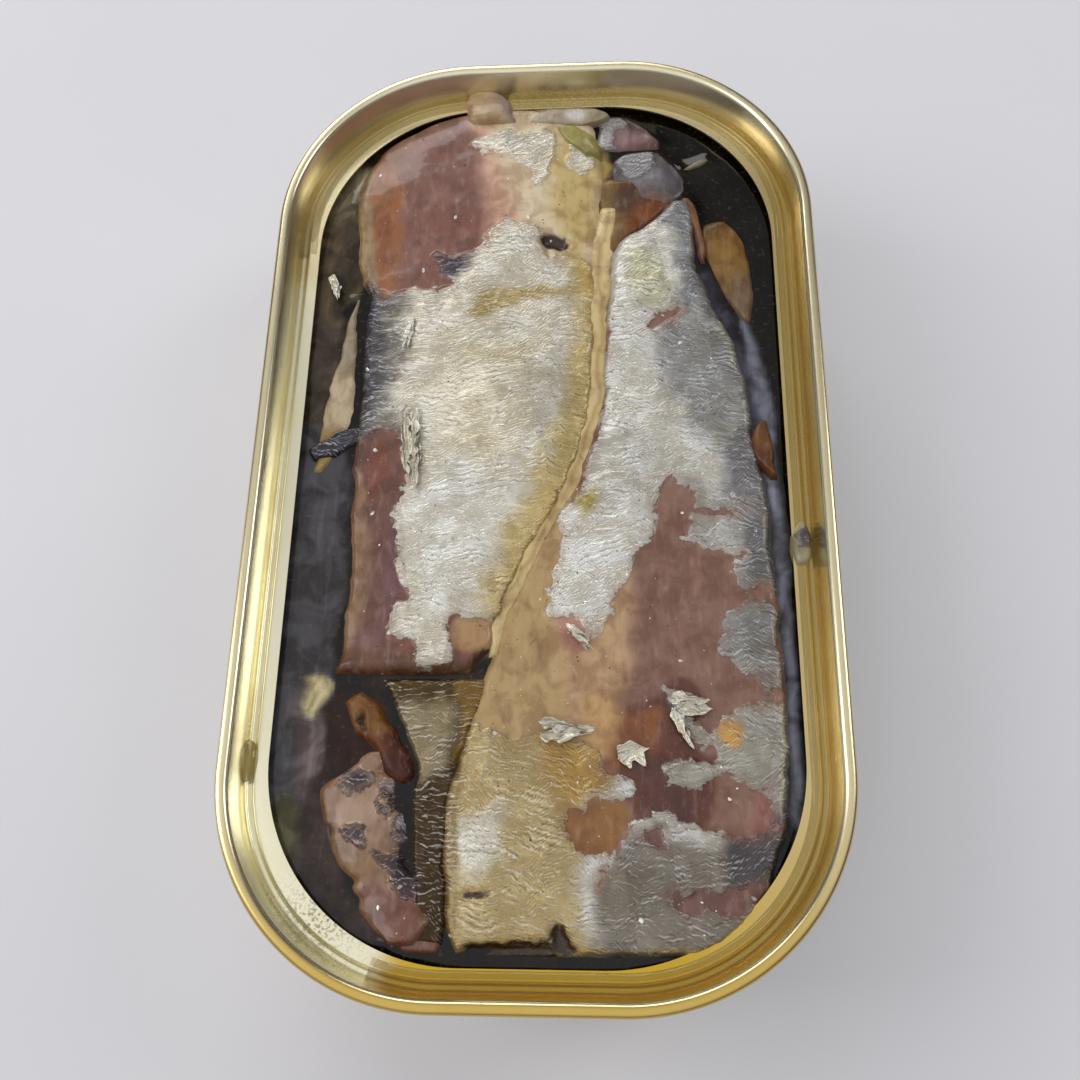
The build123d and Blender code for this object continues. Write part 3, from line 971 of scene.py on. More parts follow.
def left_fish() -> Slab:
    """The fish on the left: brown bare flesh at the far end, silver skin below."""
    mauve, orange = srgb(120, 74, 60), srgb(138, 80, 30)
    cream, peach = srgb(222, 205, 176), srgb(200, 158, 132)
    return Slab(
        "left_sardine", ("sardine_left",),
        ((48.6, -8.5, 4.4), (47.0, -14.0, 5.6), (44.0, -19.2, 6.4), (40.0, -21.5, 7.0), (36.0, -22.3, 6.8),
         (30.0, -21.9, 6.5), (24.5, -21.2, 6.5), (23.0, -20.2, 6.5), (12.0, -20.0, 6.3), (7.0, -20.2, 5.8),
         (2.0, -20.3, 4.3), (-3.0, -20.2, 2.2), (-8.0, -19.8, -0.3), (-12.0, -19.8, -2.3), (-16.0, -19.8, -3.5),
         (-19.0, -20.0, -3.7), (-21.2, -20.4, -5.0)),
        crown=-3.0, sag=0.75, lumps=0.20, ground=mauve,
        skin_ground=srgb(214, 209, 196),
        flesh=(
            Patch(((-24, 50), (-16.6, 48), (-17.6, 40), (-16.8, 34), (-16.9, 24), (-24, 20)),
                  srgb(129, 86, 56), 1.5, 0.6),
            Patch(((-20.6, 40), (-16.9, 39), (-16.5, 33), (-17.0, 23), (-20.2, 22)), orange, 0.9, 0.3),
            Patch(((-24, 50), (-20.0, 46), (-20.6, 38), (-19.7, 32), (-19.4, 22), (-24, 20)),
                  srgb(150, 126, 87), 0.5, 0.4),
            Patch(((-8.4, 50), (-7.4, 42), (-6.7, 36), (-6.4, 31), (-6, 27), (8, 27), (9, 50)), peach, 1.2, 0.4),
            Patch(((-5.4, 50), (-5, 40), (-2.5, 33), (0, 27), (9, 26), (9, 50)), srgb(210, 191, 158), 1.4, 0.6),
            Patch(((1.5, 45), (5.5, 42), (6.5, 38), (5.6, 30), (4, 27), (1, 34)), srgb(190, 168, 108), 1.2, 0.9),
            Patch(((-20.6, 6), (-16, 5), (-14.6, -2), (-14.4, -10), (-15, -19), (-21, -20)),
                  srgb(104, 67, 54), 0.6, 0.4),
            Patch(((-19.8, 0), (-18.3, -2), (-17.6, -10), (-17.8, -17), (-19.4, -18), (-20.2, -8)),
                  srgb(136, 103, 76), 0.6, 0.4),
            Patch(((-18, 4), (-16.2, 3), (-16.4, -2), (-18.4, -1)), srgb(115, 60, 43), 0.6, 0.4),
            Patch(((-21, -18.8), (-13, -19.2), (-5, -20.4), (-5, -22), (-21, -22)), srgb(96, 58, 34), 0.5, 0.3),
            Patch(((-8.2, -15.8), (-5.0, -15.6), (-3.6, -17.0), (-5.4, -18.8), (-8.2, -18.7)),
                  srgb(167, 130, 86), 0.35, 0.2),
            Patch(((-14.6, -2), (-13.6, -8), (-13.9, -14), (-15.4, -18), (-15.6, -8)),
                  srgb(104, 66, 72), 0.6, 0.4, 0.8),
        ),
        skin=(
            Patch(((-20.6, 23.4), (-17, 22.8), (-15.2, 23.0), (-12.6, 23.6), (-11.6, 23.0), (-10.2, 23.6),
                   (-12.4, 26.2), (-11.6, 27.8), (-9.4, 27.6), (-7.4, 28.6), (-6.4, 31.0), (-5.2, 31.6),
                   (-2.4, 32.0), (-0.6, 30.2), (0.6, 27.0), (2.6, 27.6), (5.2, 27.2), (7.6, 22), (7.6, 8),
                   (4.5, 0), (1.8, -4), (-0.6, -9), (-2.6, -13), (-4.2, -15.6), (-8.4, -15.6), (-8.6, -18.8),
                   (-8.0, -20.2), (-11.6, -20.4), (-12.0, -18.4), (-14.2, -17.4), (-14.4, -14.8), (-13.4, -12.8),
                   (-14.4, -9), (-14.8, -5), (-14.6, -1), (-14.4, 4), (-16.2, 6.0), (-20.8, 6.2)),
                  cream, 0.5, 0.55),
            Patch(((-8.6, 42.4), (-7.4, 44.2), (-3.6, 44.8), (0.6, 44.4), (1.2, 41.6), (0.4, 38.6), (-0.6, 37.0),
                   (-1.6, 38.4), (-2.6, 40.8), (-6, 41.4)), cream, 0.5, 0.5),
            Patch(((3.2, 43.6), (5.4, 42.0), (5.6, 39.6), (3.8, 38.6), (2.6, 40.6)), cream, 0.5, 0.5),
        ),
        bare=(Patch(((-19.6, 24.6), (-15, 25), (-12.6, 24.2), (-13.2, 26.6), (-12.6, 29), (-20, 30)), cream,
                    0.5, 0.5),),
        foil=(
            Patch(((-24, 26), (-16.2, 24), (-15.2, 18), (-15.8, 10), (-14.6, 5), (-24, 4)),
                  srgb(121, 117, 112), 1.2, 1.0),
            Patch(((-22, 24), (-18.2, 24), (-17.6, 14), (-18.4, 6), (-22, 6)), srgb(70, 68, 78), 1.0, 0.9),
            Patch(((-13, 28.5), (-9.4, 28), (-8.4, 26.0), (-10.2, 24.6), (-12.4, 25.4)), srgb(70, 64, 78), 0.8, 0.5),
            Patch(((-5, 23.5), (-8, 21), (-7, 19.6), (-3, 20.3), (1, 21.6), (5, 22.6), (5, 24), (0, 23)),
                  srgb(176, 158, 108), 0.7, 0.6),
            Patch(((2.0, 28), (4.2, 24), (3.6, 16), (2.2, 8), (0.4, 2), (-1.8, -3), (-4.2, -9), (-5.6, -14),
                   (-2, -17), (8, 0), (9, 28)), srgb(210, 189, 129), 1.5, 0.7),
            Patch(((4.3, 26), (5.6, 20), (5.2, 8), (2.8, 0), (-0.5, -6), (-3.0, -12), (0, -14), (8, 0), (9, 26)),
                  srgb(206, 177, 106), 0.8, 0.4),
            Patch(((-10, 16), (-3, 17), (-1, 10), (-4, 2), (-10, 4)), srgb(222, 214, 190), 2.5, 1.0, 0.7),
            Patch(((-13.5, -3), (-12, -12), (-9, -14), (-6, -5), (-8, 2)), srgb(226, 226, 222), 2.0, 1.0, 0.8),
        ),
        pits=(Patch(oval(1.4, 29.1, 1.9, 1.1, -8), cream, 0.4, 0.35),
              Patch(((-5.8, -18.8), (-4.0, -17.8), (-3.4, -19.0), (-4.8, -21.4), (-6.4, -21.4)), cream, 0.3, 0.2)),
    )


def right_fish() -> Slab:
    """The fish on the right: crinkled silver at its tail, torn open over brown flesh lower down."""
    mauve, peach = srgb(128, 92, 76), srgb(182, 148, 108)
    silver = srgb(213, 212, 207)
    return Slab(
        "right_sardine", ("sardine_right",),
        ((35.0, 14.6, 16.6), (34.0, 14.0, 17.2), (31.5, 11.5, 17.4), (29.4, 8.1, 17.4), (26.0, 7.1, 17.6),
         (22.0, 6.8, 19.0), (16.0, 6.5, 21.4), (10.0, 6.3, 22.8), (5.0, 5.2, 22.9), (0.0, 3.5, 23.6),
         (-5.0, 0.9, 24.2), (-10.0, -1.7, 24.3), (-15.0, -3.7, 24.5), (-20.0, -4.9, 24.7), (-25.0, -6.5, 24.8),
         (-30.0, -8.1, 24.7), (-35.0, -8.8, 24.2), (-40.0, -8.8, 22.6), (-43.0, -8.5, 20.8), (-45.5, -8.0, 18.4),
         (-47.4, -7.0, 14.6)),
        crown=-2.9, sag=0.8, lumps=0.20, ground=mauve, skin_ground=silver,
        flesh=(
            Patch(((-6, -8), (3, -6), (9.0, -11), (9.4, -18), (8.6, -24), (6.4, -29), (-10, -32)), peach, 1.6, 0.5),
            Patch(((-4, 4), (3, 0), (2.4, -8), (1.6, -16), (2.6, -24), (0, -30), (-10, -32), (-9, -20)),
                  srgb(170, 142, 93), 0.9, 0.7),
            Patch(((9.6, -24.6), (12.4, -23.4), (13.4, -21.6), (15.4, -22.2), (16.2, -24.0), (15.4, -27.4),
                   (17.0, -30), (16.0, -36), (10, -35), (7.8, -29.8)), srgb(92, 46, 30), 0.5, 0.4),
            Patch(((7.6, -26.4), (10.6, -24.8), (12.6, -25.6), (10.4, -29.4), (7.0, -30.4)),
                  srgb(133, 77, 26), 0.8, 0.4),
            Patch(((5.0, -24.0), (8.2, -24.4), (7.6, -28.0), (5.6, -29.4)), srgb(184, 145, 93), 0.9, 0.4),
            Patch(((10.6, -30.2), (14.6, -29.8), (15.6, -34), (12.6, -36), (10, -34)), srgb(84, 41, 30), 0.6, 0.4),
            Patch(((2.8, -34.2), (8.8, -33.8), (7.8, -37.4), (6.0, -39.2), (3.6, -38.2)), srgb(136, 91, 40), 0.4, 0.3),
            Patch(((5.2, -38.6), (8.4, -39), (7.4, -42.4), (5.6, -41.4)), srgb(130, 78, 46), 0.4, 0.3),
            Patch(((21, -31.6), (24, -31), (23.4, -36), (20.6, -36)), srgb(140, 92, 82), 0.6, 0.4),
            Patch(((2.0, -15.4), (4.6, -15.4), (5.6, -17.2), (3.4, -19.0)), srgb(176, 128, 110), 0.5, 0.3),
            Patch(((12, -36), (21, -39.5), (21, -43), (12, -43.6), (9, -40)), srgb(110, 74, 66), 0.8, 0.6),
        ),
        skin=(
            Patch(((14.4, 35.6), (17.6, 35), (18.6, 28), (21, 20), (24.4, 10), (24.4, -2), (23.2, -4.4),
                   (19.8, -3.8), (16.4, -3.9), (15.6, -1.6), (13.0, -0.6), (12.0, -3.8), (12.2, -6.6), (10.4, -8.4),
                   (9.4, -10.6), (8.6, -12.6), (7.6, -15.0), (6.4, -16.6), (5.0, -18.4), (4.6, -17.0), (3.8, -15.6),
                   (1.2, -15.4), (0.8, -13.4), (1.9, -9.4), (2.6, -6.2), (2.2, -4.4), (3.8, -1.8), (4.6, 0.6),
                   (6.4, 5.6), (6.6, 12), (7.0, 20), (7.2, 27), (8.4, 29.6), (11.4, 31.0)), silver, 0.5, 0.4),
            Patch(((13.6, -3.8), (16.0, -4.2), (19.4, -4.6), (24.6, -3), (24.8, -13), (22.8, -12.4), (20.6, -12.6),
                   (19.6, -10.2), (21.0, -8.6), (18.6, -8.8), (16.4, -7.6), (14.4, -6.4)), silver, 0.5, 0.5),
            Patch(((19.4, -15.4), (21.4, -14.2), (23.6, -14.4), (23.4, -22.4), (21.6, -21.4), (18.4, -19.8),
                   (18.8, -17.4)),
                  silver, 0.5, 0.6),
            Patch(((17.4, -26.4), (20.0, -24.6), (25.2, -24.0), (25.2, -31.6), (21.0, -32.0), (17.6, -31.0),
                   (14.6, -32.4),
                   (12.4, -30.2), (14.4, -29.4), (17.2, -29.6)), silver, 0.5, 0.4),
            Patch(((12.6, -22.6), (14.6, -23.4), (16.6, -24.0), (15.0, -25.2), (16.8, -27.6), (16.0, -28.0),
                   (14.2, -26.4)),
                  silver, 0.4, 0.3),
            Patch(((-9, -26.5), (-3, -27), (1.0, -27.6), (5.6, -28.2), (6.4, -30.6), (9.4, -31.6), (9.0, -33.6),
                   (5.4, -34.2), (2.8, -35.2), (3.6, -38.2), (7.0, -38.2), (6.2, -41.6), (7.6, -38.4), (9.6, -35.2),
                   (12.4, -34.6), (15.4, -35.8), (20.6, -36.8), (24.2, -34.6), (24.6, -38.4), (21.6, -43.4),
                   (17.4, -46.6), (14, -49), (-9, -49)), silver, 0.5, 0.5),
            Patch(((22.0, -31.8), (25, -31.4), (24.8, -36.6), (22.8, -36.2)), silver, 0.4, 0.5),
        ),
        bare=(
            Patch(((11.8, 18.0), (14.6, 19.9), (15.2, 19.4), (12.6, 17.2)), silver, 0.3, 0.2),
            Patch(((14.0, -2.2), (16.4, -1.8), (15.4, -6.6), (12.8, -5.4)), silver, 0.4, 0.4),
            Patch(((13, -41.6), (20.8, -41.2), (20.4, -42.8), (14.0, -43.2)), silver, 0.4, 0.5),
            Patch(((10.6, -36.4), (12.4, -36.2), (11.8, -37.8)), silver, 0.4, 0.4),
        ),
        foil=(
            Patch(((16.6, 36), (18.6, 30), (17.4, 22), (19.2, 16), (20.4, 8), (19.8, 0), (20.6, -12), (21.0, -24),
                   (21.4, -32), (27, -36), (27, 36)), srgb(120, 119, 124), 1.6, 1.2),
            Patch(((12, -2), (21, -2), (20, -9), (13, -8)), srgb(178, 176, 172), 1.2, 1.0, 0.7),
            Patch(((18, -13), (24, -13), (24, -24), (18, -23)), srgb(135, 134, 132), 1.2, 1.2, 0.8),
            Patch(((12, -23), (25, -23), (25, -34), (12, -34)), srgb(164, 160, 150), 1.4, 1.2, 0.8),
            Patch(((11, 33), (15, 36), (20, 30), (17.2, 20), (15.0, 20), (15.0, 29)),
                  srgb(112, 116, 128), 1.0, 0.7, 0.8),
            Patch(((14, 18.5), (19, 18), (21, 12), (20, 4), (15.4, 6), (13.4, 12)), srgb(150, 150, 150), 1.6, 1.0),
            Patch(((10.4, 28), (13, 26), (13.4, 22), (11, 20), (10, 24)), srgb(206, 206, 156), 1.4, 0.8, 0.6),
            Patch(((-11, -24), (-3, -26), (4, -27), (6.4, -31), (4.4, -36), (4.2, -42), (5.4, -50), (-11, -50)),
                  srgb(184, 164, 117), 1.4, 0.7),
            Patch(((1.0, -28.0), (7.4, -29.0), (7.2, -33.6), (2.4, -33.6)), srgb(178, 141, 65), 1.2, 0.8, 0.9),
            Patch(((-7.6, -36), (-3.4, -34), (-3.2, -38.6), (-6.6, -40)), srgb(207, 203, 190), 1.2, 0.8),
            Patch(((-8.8, -26), (-6.4, -27), (-7.0, -36), (-7.0, -48), (-10, -48), (-10, -28)),
                  srgb(141, 119, 73), 0.5, 0.4),
            Patch(((7.6, -38.4), (11.4, -35.6), (16, -37.4), (24, -37), (21, -46), (12, -48), (7, -48), (5.6, -44)),
                  srgb(135, 127, 117), 1.2, 0.9),
            Patch(((18, -36.5), (25, -34), (24, -41), (19, -42.4)), srgb(87, 82, 88), 1.0, 0.7),
            Patch(((3.6, -2.2), (6.4, -2.0), (6.2, -4.0), (4.6, -4.4)), srgb(168, 152, 82), 0.7, 0.4),
            Patch(((18.0, -25.8), (20.2, -26.2), (19.8, -28.4), (18.2, -28)), srgb(212, 158, 66), 0.6, 0.4, 0.9),
            Patch(((15.6, -33.2), (19.6, -32.2), (22, -33.0), (21, -35), (16, -34.8)), srgb(112, 110, 114), 0.8, 0.6),
        ),
        pits=(Patch(((-6.2, -41.8), (-4.0, -41.7), (-4.1, -42.3), (-6.0, -42.4)), silver, 0.3, 0.15),
              Patch(((-5.6, -46.2), (1.6, -46.0), (2.0, -48.5), (-5, -48.5)), silver, 0.3, 0.3),
              Patch(((1.6, -45.2), (3.0, -44.6), (4.4, -46.8), (2.2, -47.4)), silver, 0.3, 0.3)),
    )


def lower_fish() -> Slab:
    """The dark strip of a third fish, between the right fish and the scrap of flesh."""
    return Slab(
        "lower_sardine", ("sardine_lower",),
        ((-21.3, -15.4, -4.4), (-24.0, -14.2, -5.0), (-27.0, -12.8, -6.2), (-30.0, -11.6, -7.2), (-34.0, -11.5, -8.0),
         (-40.0, -11.4, -8.1), (-46.6, -11.0, -7.8)),
        crown=-3.85, sag=0.2, bevel=0.7, drop=1.2, step=0.2, lumps=0.10, ground=srgb(84, 62, 40), skin_all=True,
        skin_ground=srgb(52, 41, 26),
        foil=(Patch(((-16, -21), (-5, -21), (-5.4, -24.6), (-15, -24)), srgb(83, 64, 30), 0.9, 0.5),
              Patch(((-13.6, -24.6), (-8.2, -24.2), (-8.6, -31), (-10.4, -32), (-12.4, -28)),
                    srgb(145, 132, 104), 0.9, 0.5),
              Patch(((-7.6, -21), (-4, -21), (-6.8, -33), (-8.0, -33), (-7.4, -26)), srgb(133, 105, 54), 0.6, 0.4),
              Patch(((-11.4, -33), (-8, -32), (-8, -48), (-11.4, -48)), srgb(73, 55, 29), 0.8, 0.5)),
    )


def torn_scrap() -> Slab:
    """Pale flesh with dark bits of skin, at the lower left."""
    pale, dark = srgb(152, 124, 100), srgb(64, 50, 58)
    return Slab(
        "torn_scrap", ("flesh_scrap",),
        ((-28.6, -16.4, -14.2), (-29.8, -18.6, -13.6), (-31.5, -20.0, -12.9), (-33.5, -19.9, -12.6),
         (-36.0, -19.3, -12.3),
         (-39.0, -18.6, -11.6), (-42.0, -17.3, -10.4), (-44.6, -15.0, -9.5), (-46.8, -12.8, -10.0)),
        crown=-3.3, sag=0.6, bevel=1.0, drop=1.5, step=0.15, lumps=0.62, ground=pale, slot="fish_flesh",
        skin_ground=dark, wrinkle=1.0, edge_wander=0.9, skin_rise=0.1,
        flesh=(
            Patch(((-18.6, -31.6), (-14.4, -31.2), (-13.6, -35.6), (-15.6, -38.6), (-18.0, -36.4)),
                  srgb(164, 136, 115), 0.9, 1.3),
            Patch(((-16.8, -39.4), (-13.6, -40.2), (-12.4, -43.4), (-15.0, -44.0)), srgb(174, 142, 118), 0.9, 1.2),
            Patch(((-20.6, -31), (-19.0, -32), (-18.2, -37), (-17, -42), (-14, -46), (-19, -44)),
                  srgb(92, 62, 50), 0.6, 0.9),
            Patch(((-19, -37), (-13, -37), (-10, -46), (-15, -47), (-19, -42)), srgb(139, 107, 78), 1.4, 0.8),
            Patch(((-16, -42), (-11, -42), (-10, -47), (-14, -47)), srgb(114, 73, 59), 1.0, 0.6),
            Patch(((-21, -28), (-18.4, -30), (-18.8, -35), (-21, -36)), srgb(128, 92, 64), 0.7, 0.5),
        ),
        skin=(
            Patch(((-18.4, -31.2), (-16.6, -30.6), (-15.0, -31.0), (-16.4, -32.6), (-17.8, -33.2)), dark, 0.4, 0.45),
            Patch(((-14.4, -31.4), (-12.8, -31.6), (-12.8, -34.4), (-14.4, -33.6)), dark, 0.4, 0.45),
            Patch(((-18.2, -36.2), (-16.6, -35.4), (-15.2, -37.2), (-17.0, -37.6)), dark, 0.4, 0.4),
            Patch(((-14.8, -34.0), (-13.2, -33.6), (-13.4, -35.0), (-14.6, -35.0)), dark, 0.3, 0.35),
            Patch(((-14.8, -38.0), (-13.0, -38.4), (-12.0, -37.0), (-10.8, -38.6), (-10.6, -43), (-12.4, -42.0),
                   (-13.6, -39.8)),
                  dark, 0.4, 0.45),
            Patch(((-12.8, -35.0), (-10.4, -34.0), (-10.4, -38), (-12.4, -38)), dark, 0.4, 0.4),
        ),
        foil=(Patch(oval(-13.6, -31.0, 2.0, 1.1), srgb(150, 132, 138), 0.8, 0.4),
              Patch(((-12.8, -35.0), (-10.4, -34.0), (-10.4, -38), (-12.4, -38)), srgb(96, 88, 104), 0.6, 0.4)),
    )


def side_flesh() -> Slab:
    """Pale strip along the left wall."""
    return Slab(
        "pale_side_flesh", ("side_strip",),
        ((23.0, -21.6, -20.5), (20.0, -22.3, -20.5), (15.0, -22.7, -20.3), (11.6, -23.8, -20.1), (8.0, -24.2, -20.0),
         (5.0, -24.2, -21.2), (1.0, -24.4, -23.4)),
        crown=-4.1, sag=0.3, bevel=0.7, drop=1.3, step=0.16, lumps=0.10, ground=srgb(183, 164, 133), slot="fish_flesh",
        flesh=(Patch(((-23, 24), (-20, 24), (-20, 14), (-23.4, 14)), srgb(149, 135, 109), 1.0, 0.6),
               Patch(((-25, 6), (-20, 6), (-22, 0), (-25, 0)), srgb(148, 122, 70), 1.0, 0.5)),
    )


def far_pieces() -> list[Slab]:
    """Grey, silver and brown pieces in the far right corner."""
    return [
        Slab("grey_tail", ("grey_tail_piece",),
             ((34.4, 9.0, 15.0), (36.5, 7.6, 16.6), (39.0, 7.2, 16.0), (41.0, 7.8, 14.6), (42.4, 9.6, 13.0)),
             crown=-3.75, sag=0.4, bevel=1.2, drop=1.3, step=0.16, ground=srgb(86, 81, 82), wrinkle=0.5, lumps=0.3,
             edge_wander=0.35, skin_ground=srgb(132, 130, 136),
             skin=(Patch(((8.2, 41.4), (12.6, 41.8), (13.4, 39.6), (11.4, 38.6), (8.4, 39.4)), (1, 1, 1), 0.5, 0.6),),
             flesh=(Patch(oval(12.4, 38.0, 2.0, 1.1), srgb(119, 120, 127), 0.9, 0.4),
                    Patch(((7, 34), (16, 34), (16, 35.6), (8, 36.6)), srgb(96, 70, 58), 0.9, 0.5),
                    Patch(((14.4, 40), (17, 38), (16.6, 35), (14.6, 36)), srgb(74, 68, 76), 0.8, 0.4))),
        Slab("silver_tail", ("silver_tail_piece",),
             ((42.2, 6.0, 13.4), (43.4, 5.9, 14.0), (44.8, 5.9, 12.6), (46.6, 5.8, 11.0), (47.6, 6.4, 9.6)),
             crown=-3.85, sag=0.3, bevel=1.0, drop=1.1, step=0.16, ground=srgb(118, 88, 88),
             skin_ground=srgb(160, 160, 162),
             skin=(Patch(((5, 42), (8.6, 42.6), (8.4, 45), (10.4, 46.4), (6, 48)), srgb(176, 176, 182), 0.4, 0.7),),
             flesh=(Patch(((8, 41), (14, 42), (14, 43.2), (10, 42.8)), srgb(96, 62, 54), 0.6, 0.4),
                    Patch(((10.4, 47.6), (13, 45), (14, 43), (12, 44.4), (9.6, 46)), srgb(66, 48, 46), 0.7, 0.4)),
             wrinkle=0.6, edge_wander=0.35),
        Slab("brown_piece", ("brown_flesh",),
             ((27.6, 6.8, 8.0), (30.0, 6.4, 9.8), (32.0, 6.2, 12.4), (34.4, 6.0, 14.6), (36.8, 5.8, 13.6),
              (38.6, 6.4, 9.6)),
             crown=-3.75, sag=0.4, bevel=1.0, drop=1.3, step=0.16, ground=srgb(94, 56, 23), slot="fish_flesh",
             lumps=0.3,
             edge_wander=0.3,
             flesh=(Patch(((5, 28), (9, 29), (8.4, 39), (5, 39)), srgb(117, 91, 43), 1.2, 0.8),
                    Patch(((10, 31), (15, 33.4), (15, 35.4), (9.6, 33)), srgb(115, 64, 29), 0.7, 0.5),
                    Patch(((8.6, 33.6), (12, 34.4), (12, 37), (8.6, 37)), srgb(77, 49, 31), 0.9, 0.6))),
        Slab("far_strip", (),
             ((45.4, -3.8, 3.0), (46.4, -4.0, 7.6), (47.2, -3.4, 9.4), (48.4, -1.0, 4.6)),
             crown=-3.0, sag=0.2, bevel=0.6, drop=1.6, step=0.14, ground=srgb(156, 142, 115), slot="fish_flesh",
             lumps=0.3,
             edge_wander=0.35, flesh=(Patch(oval(3.8, 47.0, 1.2, 0.9), srgb(206, 202, 194), 0.6, 0.3),
                                      Patch(((-4, 49), (0, 48.6), (0, 47.4), (-4, 47.2)),
                                            srgb(122, 92, 66), 0.5, 0.3))),
        Slab("green_bit", (),
             ((41.0, 5.0, 6.6), (42.2, 4.0, 6.8), (43.6, 2.2, 6.2), (44.8, 1.2, 4.8), (45.6, 1.0, 3.0)),
             crown=-2.75, sag=0.4, bevel=0.6, drop=1.3, step=0.14, ground=srgb(147, 139, 70), slot="fish_flesh",
             lumps=0.25,
             edge_wander=0.3),
        Slab("pale_rod", (),
             ((39.4, 16.0, 16.8), (40.0, 16.2, 18.8), (40.6, 17.6, 19.4), (41.0, 18.6, 19.3)),
             crown=-4.1, sag=0.15, bevel=0.35, drop=0.7, step=0.1, ground=srgb(112, 104, 74), slot="fish_flesh",
             lumps=0.05,
             edge_wander=0.1),
        Slab("orange_sliver", (),
             ((26.4, 17.7, 18.5), (29.0, 17.3, 18.5), (32.0, 16.4, 17.8), (34.6, 15.6, 17.4), (35.4, 15.8, 16.6)),
             crown=-3.6, sag=0.3, bevel=0.5, drop=1.5, step=0.13, ground=srgb(122, 77, 39), slot="fish_flesh",
             lumps=0.1,
             flesh=(Patch(((17, 26), (19, 26), (18.4, 30), (17, 30)), srgb(120, 80, 58), 0.6, 0.3),)),
    ]


